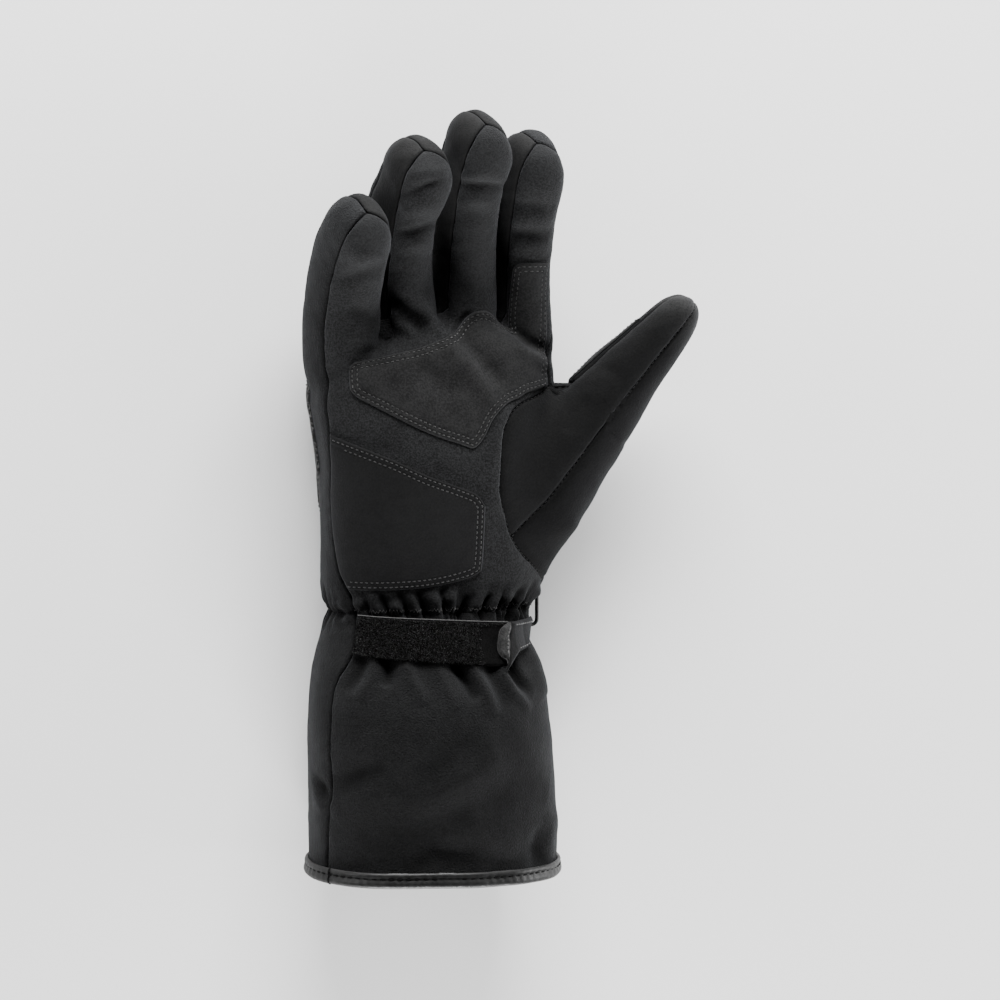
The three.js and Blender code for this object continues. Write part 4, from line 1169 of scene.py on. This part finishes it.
def stitches(line, height, pitch=2.05, length=1.15, radius=0.23):
    """A row of stitches along a line: short lengths of thread that rise out of the cloth and dive back.
    Their height falls with the fourth power of the way from the middle, and their radius with the third."""
    run = along_line(line)
    count = int(run[-1] / pitch)
    centre = (np.arange(count) + 0.5) * run[-1] / count
    reach = np.linspace(-0.5, 0.5, STITCH_POINTS) * length
    paths = resample(line, (centre[:, None] + reach).ravel()).reshape(count, STITCH_POINTS, 3)
    middle = paths[:, STITCH_POINTS // 2]
    normals = outward(middle)
    arch = height(middle, normals)[:, None] + radius * (0.75 - 2.2 * (2 * reach / length) ** 4)
    paths = paths + normals[:, None] * arch[..., None]
    radii = radius * (1 - 0.35 * np.abs(2 * reach / length) ** 3)
    return strands(paths, radii, normals, STITCH_SIDES)


def join(parts):
    """Several sets of points and triangles as one."""
    starts = np.cumsum([0] + [len(points) for points, _ in parts[:-1]])
    points = np.concatenate([points for points, _ in parts])
    return points, np.concatenate([faces + start for (_, faces), start in zip(parts, starts)])


def add_stitches(name, lines, height, thread, *measures):
    """Rows of stitches along lines, as one piece. The measures are pitch, length and radius."""
    return add_piece(name, *join([stitches(line, height, *measures) for line in lines]), [thread])


def patch_height(thick, folds=FOLDS):
    """Height of a stitch row's surface on a patch."""
    def height(p, n):
        return relief(p, n, folds) + thick - STITCH_PULL
    return height


def evenly(lo, hi, spacing=0.7, pull=0.6):
    """Numbers from lo to hi about spacing apart, closer at the ends."""
    return closer_at_ends(int(abs(hi - lo) / spacing) + 1, lo, hi, pull)


main_x = np.concatenate([evenly(PATCH_EDGE[0][0], TONGUE_X)[:-1], evenly(TONGUE_X, PATCH_EDGE[-1][0])])
low_y, high_y = np.moveaxis(curve(PATCH_EDGE, main_x), -1, 0)
patch_share, tongue_share = closer_at_ends(56, 0, 1), closer_at_ends(36, 0, 1)
patch_grid = above(main_x[:, None], low_y[:, None] + (high_y - low_y)[:, None] * patch_share)
in_tongue = main_x > TONGUE_X - 0.01
tongue_x = main_x[in_tongue]
across = (tongue_x - TONGUE_X) / (tongue_x[-1] - TONGUE_X)
into_corner = np.clip(TONGUE_X + TONGUE_CORNER - tongue_x, 0, TONGUE_CORNER)
corner = TONGUE_CORNER - np.sqrt(TONGUE_CORNER**2 - into_corner**2)
top_x = TONGUE_TOP_LEFT + (TONGUE_TOP_RIGHT - TONGUE_TOP_LEFT) * across
top_y = TONGUE_TOP - corner
bottom_y = high_y[in_tongue]
tongue_grid = above(
    tongue_x[:, None] + (top_x - tongue_x)[:, None] * tongue_share,
    bottom_y[:, None] + (top_y - bottom_y)[:, None] * tongue_share,
)
notch = len(main_x) - len(tongue_x)
patch_outline = np.concatenate([
    patch_grid[:, 0],
    patch_grid[-1, 1:],
    tongue_grid[-1, 1:],
    tongue_grid[::-1, -1][1:],
    tongue_grid[0, ::-1][1:],
    patch_grid[:notch, -1][::-1],
    patch_grid[0, ::-1][1:],
])
patch_suede = suede("patch_suede", 0.0063)
palm_patch = lay_patch(
    "palm_patch_suede", [patch_grid, tongue_grid], patch_outline, PATCH_THICK, patch_suede
)
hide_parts("palm_patch")


def thread_finish(name, value, shine=0.4):
    """Twisted thread: fine dark and light strands, a little shiny."""
    make = Finish(name)
    strand = make.noise(0.35, 1)
    colour = make.mix(make.smooth(strand, 0.35, 0.65), grey(value * 0.6), grey(value * 1.3))
    return make.surface(
        Base_Color=colour,
        Roughness=0.55,
        Normal=make.bump(strand, 0.08),
        Specular_IOR_Level=shine,
        Sheen_Weight=shine / 2,
    )


grey_thread = thread_finish("grey_thread", 0.009, 0.3)
patch_rows = [inner_line(patch_outline, row) for row in STITCH_ROWS]
patch_stitches = add_stitches("palm_patch_stitches", patch_rows, patch_height(PATCH_THICK), grey_thread)


# Heel patch
# A second patch covers the heel of the hand, from the side seam to the hollow of the palm, with the same
# two rows of stitches along its edges except where it is caught in the side seam.
HEEL_INSET, HEEL_EDGE_ANGLE, HEEL_CELLS = 0.3, 14, 80
HEEL_TOP = [[0, 29], [0.26, 24.3], [0.47, 19], [0.68, 12], [0.87, 7], [0.96, 4], [1, 0]]  # share across, y
HEEL_BOTTOM = [[0, -33.2], [0.4, -33.2], [0.7, -31.9], [0.92, -29], [1, -26.6]]


def round_grid(cells, pulls, low, high, angle):
    """A grid between two edges that run round the hand, at each share of the way across. Cells are its
    numbers across and up, and pulls say how much closer together they are at its edges."""
    t = closer_at_ends(cells[0], 0, 1, pulls[0])[:, None]
    y = low(t) + (high(t) - low(t)) * closer_at_ends(cells[1], 0, 1, pulls[1])
    return hand_point(y, angle(t, y))


heel_grid = round_grid(
    (86, HEEL_CELLS),
    (0.6, 0.6),
    lambda t: curve(HEEL_BOTTOM, t)[..., 0],
    lambda t: curve(HEEL_TOP, t)[..., 0],
    lambda t, y: side_seam(y) + HEEL_INSET + (HEEL_EDGE_ANGLE - side_seam(y) - HEEL_INSET) * t,
)


def grid_outline(grid):
    """The closed outline of a grid."""
    return np.concatenate([grid[:, 0], grid[-1, 1:], grid[::-1, -1][1:], grid[0, ::-1][1:]])


def open_row(outline, seam_line, distance):
    """A row of stitches inside an outline, without the part beside the seam that the patch is caught in."""
    line = inner_line(outline, distance, closed=False)
    beside_seam = distance_to(line, seam_line) < distance * 1.3
    start = np.flatnonzero(beside_seam)[-1] + 1
    return np.roll(line, -start, 0)[:len(line) - beside_seam.sum()]


heel_outline = grid_outline(heel_grid)
# the heel patch is the palm patch's suede painted darker: painted shade
heel_shaded_suede = suede("heel_shaded_suede", 0.0019)
heel = lay_patch("heel_patch_suede", [heel_grid], heel_outline, PATCH_THICK, heel_shaded_suede, caught=HEEL_CELLS)
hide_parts("heel_patch")
heel_rows = [open_row(heel_outline, heel_grid[0], row) for row in STITCH_ROWS]
heel_stitches = add_stitches("heel_patch_stitches", heel_rows, patch_height(PATCH_THICK), grey_thread)


# Thumb edge patch
# A narrow strip of suede guards the edge of the thumb that faces the index finger.
EDGE_START, EDGE_END = 46, 82  # along the thumb
EDGE_WIDTH, EDGE_GAP = 22, 7  # degrees round it, and from its edge seam
EDGE_THICK, EDGE_LEAST, EDGE_TAPER = 0.6, 0.25, 20
edge_along = evenly(EDGE_START, EDGE_END, 0.8)[:, None]
edge_taper = np.minimum(edge_along - EDGE_START, 1.5 * (EDGE_END - edge_along))
edge_width = EDGE_WIDTH * np.minimum(1, EDGE_LEAST + edge_taper / EDGE_TAPER)
edge_share = closer_at_ends(14, 0, 1)
edge_grid = settle(thumb.point(edge_along, THUMB_EDGE - EDGE_GAP - edge_width * (1 - edge_share)))
edge_patch = lay_patch(
    "thumb_edge_suede", [edge_grid], grid_outline(edge_grid), EDGE_THICK, patch_suede, THUMB_FOLDS, rows=()
)
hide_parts("thumb_edge_patch")
edge_stitches = add_stitches(
    "thumb_edge_stitches", [edge_grid[2:-2, 3]], patch_height(EDGE_THICK, THUMB_FOLDS), grey_thread
)


# Threads in the seams
# The thumb's two panels are sewn in with black thread, whose stitches show as small beads down in the ring
# round its root and in the slanting seam.
black_thread = thread_finish("black_thread", 0.006, 0.15)
seam_threads = add_stitches(
    "seam_threads",
    [root_line[::2], thumb_grid[:, THUMB_SPLIT]],
    lambda p, n: relief(p, n, ()) - 0.85,
    black_thread,
    2.1, 1.2, 0.18,
)


# Wrist strap
# A band of brushed loop pile crosses the palm side of the wrist and takes the hook end of the tab. Its edges
# are bound thin, and its end beside the tab is left bare of pile, so that its dark ground is painted shade
# there.
STRAP_ENDS = (-49, 37)  # angles of its two ends
STRAP_TOP, STRAP_BOTTOM = (-43.3, -48.1), (-59, -65.8)  # y of its edges at the two ends
STRAP_THICK = 1.5
BAND_PULLS = (0.4, 0.5)


def between(ends, t):
    """The value at a share t of the way from the first of two values to the second."""
    return ends[0] + (ends[1] - ends[0]) * t


strap_grid = round_grid(
    (120, 34),
    BAND_PULLS,
    lambda t: between(STRAP_BOTTOM, t),
    lambda t: between(STRAP_TOP, t),
    lambda t, y: between(STRAP_ENDS, t) + 0 * y,
)


def strap_height(p, n):
    """The cloth under the strap: its gathers pressed nearly flat."""
    return 0.2 * ripple(p, 16) + 0.8


def lay_band(name, grid, height, thick, finish):
    """A band on the cloth with rounded edges."""
    points, triangles = sew([grid])
    normals = outward(points)
    edge = distance_to(points, grid_outline(grid))
    lift = height(points, normals)
    top = lift + thick * (1 - 0.6 * bell(edge, 0.6))
    body, faces = close_sheet(points, triangles, normals, top, lift + PATCH_GAP)
    return add_piece(name, body, faces, [finish], [("seam", np.tile(edge + 0.3, 2))])


def pile_ground():
    """The dark knitted ground under the pile."""
    make = Finish("pile_ground")
    knit = make.noise(0.7, 3, 0.7)
    colour = make.mix(make.smooth(knit, 0.35, 0.65), grey(0.001), grey(0.004))
    return make.surface(
        Base_Color=colour,
        Roughness=0.95,
        Normal=make.bump(knit, 0.4),
        Specular_IOR_Level=0.05,
    )


strap = lay_band("strap_band", strap_grid, strap_height, STRAP_THICK, pile_ground())
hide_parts("wrist_strap")
PILE_COUNT, YARN_RADIUS = 7800, 0.09
LOOP_TURN = np.linspace(-0.4, 3.4, 5)[None, :, None]  # radians round a loop
BARE_ANGLE, BARE_Y = 19.5, -49.5  # the bare end, dark as painted shade, lies beyond this angle and below this y
strap_width = STRAP_ENDS[1] - STRAP_ENDS[0]
angle = STRAP_ENDS[0] + 1 + (strap_width - 1.5) * random.uniform(0, 1, PILE_COUNT)
across = (angle - STRAP_ENDS[0]) / strap_width
top_edge = between(STRAP_TOP, across) - 0.7
y = top_edge + (between(STRAP_BOTTOM, across) + 0.1 - top_edge) * random.uniform(0, 1, PILE_COUNT)
bare = (angle > BARE_ANGLE + random.normal(0, 0.7, PILE_COUNT)) & (y < BARE_Y)
foot = hand_point(y[~bare], angle[~bare])
out = outward(foot)
foot = foot + out * (strap_height(foot, out) + STRAP_THICK - 0.15)[:, None]
lean = random.normal(size=foot.shape)
lean = unit(lean - out * (lean * out).sum(-1, keepdims=True))
size = random.uniform(0.35, 0.75, len(foot))[:, None, None]
tall = random.uniform(0.7, 1.45, len(foot))[:, None, None]
aside = np.cross(out, lean)
forward, upward = np.cos(LOOP_TURN) * size, np.sin(LOOP_TURN) * size
loops = foot[:, None] + lean[:, None] * forward * 0.55 + out[:, None] * upward * tall
loops = loops + aside[:, None] * (LOOP_TURN - 1.5) * size * 0.2


def pile_finish():
    """Loops of nylon yarn, each a little lighter or darker than its neighbours, with some much paler where
    the yarn is broken."""
    make = Finish("pile_yarn")
    patchy, broken = make.noise(1.1, 2, 0.8), make.noise(0.5, 1)
    colour = make.mix(make.smooth(patchy, 0.42, 0.62), grey(0.001), grey(0.012))
    colour = make.mix(make.smooth(broken, 0.61, 0.71), colour, grey(0.09))
    return make.surface(Base_Color=colour, Roughness=0.7, Specular_IOR_Level=0.12)


pile = add_piece("strap_pile", *strands(loops, YARN_RADIUS, aside, 3), [pile_finish()])


# Bright edge of the strap
# The strap's upper edge is overlocked, which shows as a thin pale line.
pale_thread = thread_finish("pale_thread", 0.06)


def add_line(name, line, lift, square, radius, sides, thread):
    """One thread along a line on the cloth, lifted off it. Square is a direction across the line."""
    path = line + outward(line) * lift[:, None]
    return add_piece(name, *strands(path[None], radius, np.array([square], float), sides), [thread])


edge_share = np.linspace(0, 1, 60)
edge_line = hand_point(between(STRAP_TOP, edge_share) + 0.1, np.linspace(*STRAP_ENDS, 60))
edge_lift = strap_height(edge_line, outward(edge_line)) + STRAP_THICK * 0.8
strap_edge = add_line("strap_edge", edge_line, edge_lift, (0, 1, 0), 0.16, 8, pale_thread)


# Strap tab
# The tab is a folded piece of suede on webbing, stitched along its top and bottom. Its cut end is turned
# back, stitched down and frayed pale.
TAB_LEFT, TAB_RIGHT = (33.4, 37.7), (55, 71)  # angles of its two ends, at the bottom and at the top
TAB_BOTTOM, TAB_TOP = (-61.8, -59.5), (-48, -47.6)  # y of its two edges, at the left and at the right
TAB_THICK = 1.7
FLAP_LENGTH, FLAP_WIDTH = 6.4, 0.45  # the pointed corner at its lower left
TURNED_END = [
    # share of the way up, width in degrees
    [0, 1.5], [0.08, 4.5], [0.25, 6.5], [0.7, 7], [0.87, 6], [0.96, 3], [1, 1.5],
]


def tab_angle(t, y):
    """Angle at a share t of the tab's length: both its ends lean towards the thumb at the top."""
    low, high = between(TAB_BOTTOM, t), between(TAB_TOP, t)
    up = (y - low) / (high - low)
    return between((between(TAB_LEFT, up), between(TAB_RIGHT, up)), t)


def tab_height(p, n):
    """The tab lies on the strap's end, a little bowed, and beyond it on the cloth."""
    on_strap = np.clip((50 - hand_angle(p)) / 10, 0, 1) * np.clip((p[:, 1] + 69) / 4, 0.2, 1)
    return 0.75 + 1.6 * on_strap + 0.25 * np.cos(np.radians(hand_angle(p) - 55) * 3)


tab_grid = round_grid(
    (60, 40),
    BAND_PULLS,
    lambda t: between(TAB_BOTTOM, t) - FLAP_LENGTH * np.clip(1 - t / FLAP_WIDTH, 0, 1) ** 1.3,
    lambda t: between(TAB_TOP, t),
    tab_angle,
)
tab = lay_band("tab_suede", tab_grid, tab_height, TAB_THICK, suede("tab_suede", 0.003))
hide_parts("strap_tab")


def turned_low(t):
    """y of the turned end's lower edge, which slants down along the flap."""
    return TAB_BOTTOM[0] - FLAP_LENGTH * (0.2 + 0.7 * t)


def turned_angle(t, y):
    """Angle at a share t of the turned end's width."""
    low = turned_low(t)
    up = np.clip((y - low) / (TAB_TOP[0] - low), 0, 1)
    return tab_angle(0, y) + 1 - curve(TURNED_END, up)[..., 0] * (1 - t)


def turned_height(p, n):
    """The turned end lies on the tab and is uneven."""
    return tab_height(p, n) + 0.4 + 0.4 * ripple(p, 6)


def frayed_cloth():
    """Pale woven webbing whose cut threads stand up unevenly."""
    make = Finish("frayed_webbing")
    threads = make.noise(0.7, 3, 0.8)
    colour = make.mix(make.smooth(threads, 0.35, 0.65), grey(0.001), grey(0.017))
    return make.surface(
        Base_Color=colour,
        Roughness=0.8,
        Normal=make.bump(threads, 0.5),
        Specular_IOR_Level=0.2,
        Sheen_Weight=0.1,
    )


turned_grid = round_grid(
    (26, 60),
    BAND_PULLS,
    turned_low,
    lambda t: TAB_TOP[0] + 0 * t,
    turned_angle,
)
fray = lay_band("tab_turned_end", turned_grid, turned_height, TAB_THICK, frayed_cloth())
TAB_ROW_INSET = 1.4


def tab_row(ends, inset, start):
    """A row of stitches along one edge of the tab, from a share of its length on."""
    share = np.linspace(start, 0.95, 40)
    y = between(ends, share) + inset
    return hand_point(y, tab_angle(share, y))


def tab_face(height):
    """Height of the outer face of a band whose underside has the given height."""
    return lambda p, n: height(p, n) + TAB_THICK


turned_y = np.linspace(TAB_TOP[0] - 2.5, TAB_BOTTOM[0] + 0.5, 40)
tab_rows = [
    (tab_row(TAB_TOP, -TAB_ROW_INSET, 0.1), tab_face(tab_height)),
    (tab_row(TAB_BOTTOM, TAB_ROW_INSET, 0.35), tab_face(tab_height)),
    (hand_point(turned_y, tab_angle(0, turned_y) - 1), tab_face(turned_height)),
]
tab_stitches = add_piece(
    "tab_stitches",
    *join([stitches(row, face, 1.6, 0.9, 0.26) for row, face in tab_rows]),
    [pale_thread],
)


# Elastic at the wrist
# A flat elastic is zigzag stitched behind the gathers, and the thread shows where the cloth is pinched.
ZIGZAG_FROM_X, ZIGZAG_TO_X, ZIGZAG_POINTS = -37, 38, 121
to_side = np.arange(ZIGZAG_POINTS) % 2 * 2 - 1
zigzag_reach = random.uniform(0.1, 1, ZIGZAG_POINTS) * to_side
zigzag_x = np.linspace(ZIGZAG_FROM_X, ZIGZAG_TO_X, ZIGZAG_POINTS)
zigzag = above(zigzag_x, WRIST_Y + 2 + zigzag_reach)
zigzag_lift = relief(zigzag, outward(zigzag)) + 0.3 * ripple(zigzag, 6) - 0.1
elastic = add_line("elastic_thread", zigzag, zigzag_lift, (0, 0, 1), 0.15, STITCH_SIDES, grey_thread)


# Slide ring
# A black wire ring on the thumb side takes the strap's webbing. The CAD solid has its true shape and stays,
# with a plated finish.
def plated_wire():
    """Black plating with fine rub marks."""
    make = Finish("black_plating")
    rubs = make.noise(1.2, 4, 0.7)
    colour = make.mix(make.smooth(rubs, 0.5, 0.75), grey(0.02), grey(0.07))
    return make.surface(
        Base_Color=colour,
        Metallic=0.9,
        Roughness=0.3 + 0.25 * rubs,
        Normal=make.bump(rubs, 0.03),
    )


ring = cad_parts["strap_ring"]
ring.data.materials.clear()
ring.data.materials.append(plated_wire())


# Padded piece on the back
# A leather panel with a foam core protects the knuckles. It is quilted with curved channels, its edges
# are turned and stitched, and the glove rests on it.
OVERLAY_TOP, OVERLAY_BOTTOM = 50, -16  # y in the middle
OVERLAY_ENDS = (-102, -221)  # angles of its edges on the little finger's side and on the thumb's
TOP_FROM, TOP_DROP = 0.75, 4.5  # the share of the half width where its top rounds off, and how far down
BOTTOM_FROM, BOTTOM_SIDE_Y = 0.35, 12  # the same at its bottom, which rises to this y at the sides
OVERLAY_THICK, OVERLAY_GAP = 3.9, 0.2
CHANNELS = [
    # height of the arch, y at the middle
    (9, 40), (8, 29), (7, 18),
]


def from_side(t, start):
    """0 in the middle part of a width, then rising to 1 at its sides."""
    return np.maximum((np.abs(2 * t - 1) - start) / (1 - start), 0)


overlay_grid = round_grid(
    (150, 80),
    (0.5, 0.5),
    lambda t: OVERLAY_BOTTOM + (BOTTOM_SIDE_Y - OVERLAY_BOTTOM) * from_side(t, BOTTOM_FROM) ** 1.6,
    lambda t: OVERLAY_TOP - TOP_DROP * from_side(t, TOP_FROM) ** 2,
    lambda t, y: between(OVERLAY_ENDS, t) + 0 * y,
)
pad_outline = grid_outline(overlay_grid)


def channel_line(arch, y):
    """A channel across the overlay, arched towards the fingers in the middle."""
    t = np.linspace(0.14, 0.86, 60)
    return hand_point(y - arch * (2 * t - 1) ** 2, between(OVERLAY_ENDS, t))


channel_lines = [channel_line(*channel) for channel in CHANNELS]


def pad_height(p, n):
    """Height of the pad's face: full in the middle, pressed down at its channels, and thin at its edges,
    most of all at the two that run round the sides of the hand."""
    edge = distance_to(p, pad_outline)
    starts = np.concatenate([line[:-1] for line in channel_lines])
    ends = np.concatenate([line[1:] for line in channel_lines])
    channel = distance_between(p, starts, ends)
    across = np.mod(OVERLAY_ENDS[0] - hand_angle(p), 360) / (OVERLAY_ENDS[0] - OVERLAY_ENDS[1])
    near_side = bell(np.minimum(across, 1 - across), 0.14)
    thin = 1 - 0.88 * near_side
    puff = 1 - 0.62 * bell(edge, 2.2) - 0.15 * bell(edge, 5)
    pressed = 0.35 * bell(channel, 1.1) + 0.1 * bell(channel, 3)
    puff = thin * puff * (1 - pressed * (1 - near_side))
    return relief(p, n, ()) + OVERLAY_GAP + OVERLAY_THICK * puff


def grained_leather():
    """Grained leather: pebbles with fine creases between them, shinier in the middle of each."""
    make = Finish("overlay_leather")
    pebbles, creases = make.pebbles(1.3), make.noise(2.2, 4, 0.6)
    return make.surface(
        Base_Color=make.mix(make.smooth(creases, 0.3, 0.7), grey(0.003), grey(0.005)),
        Roughness=0.55 + 0.2 * pebbles,
        Normal=make.bump(0.6 * pebbles + 0.5 * creases, 0.16),
        Specular_IOR_Level=0.4,
    )


points, triangles = sew([overlay_grid])
normals = outward(points)
edge = distance_to(points, pad_outline)
under = relief(points, normals, ()) + PATCH_GAP
overlay = add_piece(
    "knuckle_pad",
    *close_sheet(points, triangles, normals, pad_height(points, normals), under),
    [grained_leather()],
    [("seam", np.tile(edge + 0.3, 2))],
)
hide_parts("knuckle_overlay")
PAD_ROW_INSET = 1.8
pad_rows = [inner_line(pad_outline[::-1], PAD_ROW_INSET)] + channel_lines
overlay_stitches = add_stitches("knuckle_pad_stitches", pad_rows, pad_height, black_thread, 2.6, 1.7, 0.24)


# Hem binding
# A strip of coated leather is folded round the cut edge of the cuff and sewn through with one row of
# stitches. It puckers between them, and its ends lap on the little finger's side.
BINDING_Y, HEM_Y = -145, -149.6  # the ring of cloth that it follows, and its own lower edge
LEG = 6.2  # length of each side of the folded strip
OUTER, INNER = 0.75, -WALL - 0.9  # the cut edges of its two sides, out from the cuff's face
ROW_DOWN = 2.3  # from the end of a side down to the row of stitches
profile = np.array([
    # distance out from the cuff's face, height above the hem: up over the outer side, round the hem, up the
    # inner side, and back inside the strip
    (OUTER - 0.6, LEG), (OUTER + 0.1, LEG + 0.15), (OUTER + 0.6, LEG - 0.3), (OUTER + 0.85, LEG - 1),
    (OUTER + 0.75, LEG - 1.7), (OUTER + 0.55, LEG - ROW_DOWN), (OUTER + 0.8, LEG - 2.9),
    (OUTER + 1.15, LEG - 3.8), (OUTER + 1.25, 1.6), (OUTER + 1, 0.7), (OUTER + 0.4, 0.12), (OUTER - 0.5, 0),
    (INNER + 0.6, 0), (INNER - 0.4, 0.1), (INNER - 1, 0.7), (INNER - 1.2, 1.6), (INNER - 0.9, LEG - 3),
    (INNER - 0.5, LEG - ROW_DOWN), (INNER - 0.8, LEG - 1.3), (INNER - 0.5, LEG - 0.4),
    (INNER + 0.3, LEG - 0.3), (INNER + 0.4, LEG - 2), (INNER + 0.5, 2.4),
    (OUTER - 0.7, 2.4), (OUTER - 0.6, LEG - 2),
])
DASH_PITCH, DASH_LENGTH, DASH_RADIUS = 3.4, 2.3, 0.26
PUCKER, WAVER = 0.07, 0.16  # how far it swells between the stitches, and wavers along its run
LAP_TURN, LAP_STEP, LAP_FADE = 296, 0.45, 14  # angle of the lap, its step, and how far the step fades out
DULL_FADE = 50  # how far beyond the lap the strip is dull
turn = np.linspace(0, 360, 721)
hem_base = hand_point(BINDING_Y, turn[:-1])
hem_base = np.concatenate([hem_base, hem_base[:1]])
hem_out = unit(outward(hem_base) * [1, 0, 1])
hem_run = along_line(hem_base)
from_middle = profile[:, 0] - (OUTER + INNER) / 2
facing_out, on_side = np.sign(from_middle), np.abs(from_middle) > 2
near_row = bell(profile[:, 1] - LEG + 3, 2.2) * on_side
pucker = np.cos(2 * np.pi * hem_run / DASH_PITCH)[:-1, None]
waver = ripple(hem_base, 16)[:-1, None]
from_lap = (hem_run[:-1] - np.interp(LAP_TURN, turn, hem_run))[:, None]
step = LAP_STEP / (1 + np.exp(np.clip(-from_lap / 0.12, -30, 30)))
step = step * (from_lap < LAP_FADE) * (1 - from_lap / LAP_FADE)
bulge = facing_out * (near_row * PUCKER * pucker + WAVER * waver * on_side) - facing_out * on_side * step
rings = hem_base[:-1, None] + hem_out[:-1, None] * (profile[:, 0] + bulge)[..., None]
rings[..., 1] = HEM_Y + profile[:, 1] - hem_drop(hem_base[:-1, :1])
rings[..., 2] = np.maximum(rings[..., 2], 0.03)
count, corners = rings.shape[:2]
i, j = np.meshgrid(np.arange(count), np.arange(corners), indexing="ij")
i2, j2 = (i + 1) % count, (j + 1) % corners
faces = np.stack([i * corners + j, i * corners + j2, i2 * corners + j2, i2 * corners + j], -1).reshape(-1, 4)
beyond = 0.6 * (from_lap < 0) * np.clip(1 + from_lap / DULL_FADE, 0, 1)
dull = np.clip(bell(from_lap, 0.5) + beyond, 0, 1) + 0 * profile[:, 0]


def coated_leather():
    """Smooth coated leather with a shine and faint stretch lines, dull beyond the lap."""
    make = Finish("coated_leather")
    dull, lines = make.painted("dull"), make.noise(1.6, 4, 0.6)
    colour = make.mix(make.smooth(lines, 0.35, 0.65), grey(0.002), grey(0.006))
    return make.surface(
        Base_Color=make.mix(dull, colour, grey(0.0005)),
        Roughness=0.38 + 0.24 * lines + 0.3 * dull,
        Normal=make.bump(lines, 0.2),
        Specular_IOR_Level=0.3,
        Coat_Weight=0.06,
        Coat_Roughness=0.25,
    )


attributes = [("dull", dull.ravel())]
binding = add_piece("binding_strip", rings.reshape(-1, 3), faces, [coated_leather()], attributes)
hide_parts("hem_binding")
hem_row = np.stack([hem_base[:, 0], HEM_Y + LEG - ROW_DOWN - hem_drop(hem_base[:, 0]), hem_base[:, 2]], -1)
hem_row = hem_row + hem_out * (OUTER + 0.62)
dash_count = int(hem_run[-1] / DASH_PITCH)
dash_at = (np.arange(dash_count) + 0.5) * hem_run[-1] / dash_count
reach = np.linspace(-0.5, 0.5, STITCH_POINTS) * DASH_LENGTH
dashes = resample(hem_row, ((dash_at[:, None] + reach) % hem_run[-1]).ravel())
dashes = dashes.reshape(dash_count, STITCH_POINTS, 3)
dash_out = unit(np.stack([np.interp(dash_at, hem_run, hem_out[:, i]) for i in range(3)], -1))
dashes = dashes + dash_out[:, None] * (0.12 - 0.5 * (2 * reach / DASH_LENGTH) ** 4)[None, :, None]
binding_thread = thread_finish("binding_thread", 0.001, 0.04)
binding_stitches = add_piece(
    "binding_stitches", *strands(dashes, DASH_RADIUS, dash_out, STITCH_SIDES), [binding_thread]
)
lap_at = int(np.searchsorted(turn, LAP_TURN))
OUTER_FACE = slice(1, 12)  # the points of the profile that show from outside
lap_edge = rings[lap_at, OUTER_FACE] + hem_out[lap_at] * 0.1
lap_seam = add_piece(
    "binding_lap_seam",
    *strands(lap_edge[None], 0.3, np.array([[0, 0.6, 0.8]]), STITCH_SIDES),
    [binding_thread],
)


# Floor, lights and camera
# A plain pale floor, a faint even surround, and four large soft lamps low round the glove. The camera
# stands where the photograph was taken from.
def pale_floor():
    """Matt white board."""
    make = Finish("floor_board")
    return make.surface(Base_Color=(0.86, 0.86, 0.86, 1), Roughness=0.9, Specular_IOR_Level=0.1)


FLOOR_REACH = 4000
floor_mesh = bpy.data.meshes.new("floor")
floor_corners = np.array([(-1, -1, 0), (1, -1, 0), (1, 1, 0), (-1, 1, 0)]) * FLOOR_REACH * MM
floor_mesh.from_pydata(floor_corners.tolist(), [], [(0, 1, 2, 3)])
floor = bpy.data.objects.new("floor", floor_mesh)
bpy.context.collection.objects.link(floor)
floor.data.materials.append(pale_floor())

world = bpy.data.worlds.new("studio")
bpy.context.scene.world = world
world.use_nodes = True
surround = world.node_tree.nodes["Background"].inputs
surround["Color"].default_value = (1, 1, 1, 1)
surround["Strength"].default_value = 0.04


def stand(name, data, right, back, place):
    """Places a lamp or camera that looks along minus back, with its own right."""
    thing = bpy.data.objects.new(name, data)
    bpy.context.collection.objects.link(thing)
    columns = np.stack([right, np.cross(back, right), back, place], 1)
    thing.matrix_world = Matrix([*columns.tolist(), [0, 0, 0, 1]])
    return thing


LAMP_TARGET = (0.02, 0, 0.03)
LAMPS = [
    # name, place and size in metres, power
    ("lamp_top", (0, 1, 0.5), (0.9, 0.4), 49),
    ("lamp_right", (1, -0.1, 0.3), (0.7, 0.3), 11),
    ("lamp_left", (-1, 0.1, 0.4), (0.6, 0.3), 4.5),
    ("lamp_bottom", (0, -1.2, 0.22), (1, 0.22), 64),
]
for name, place, (width, height), power in LAMPS:
    lamp = bpy.data.lights.new(name, "AREA")
    lamp.shape = "RECTANGLE"
    lamp.size, lamp.size_y, lamp.energy = width, height, power
    back = unit(np.subtract(place, LAMP_TARGET))
    stand(name, lamp, unit(np.cross([0, 0, 1], back)), back, place)

TURN, RISE, DISTANCE = 18, 4.5, 1000  # degrees that it leans to the little finger's side and to the tips
FOCAL, FRAME, SENSOR = 2439, 1000, 36  # pixels, pixels, millimetres
TARGET = np.array([28, 0, 30])
turned, risen = np.radians([TURN, RISE])
back = np.array([-np.sin(turned) * np.cos(risen), np.sin(risen), np.cos(turned) * np.cos(risen)])
right = unit(np.cross(-back, [0, 1, 0]))
camera = stand("camera", bpy.data.cameras.new("camera"), right, back, (TARGET + DISTANCE * back) * MM)
camera.data.sensor_width = SENSOR
camera.data.lens = FOCAL * SENSOR / FRAME
bpy.context.scene.camera = camera
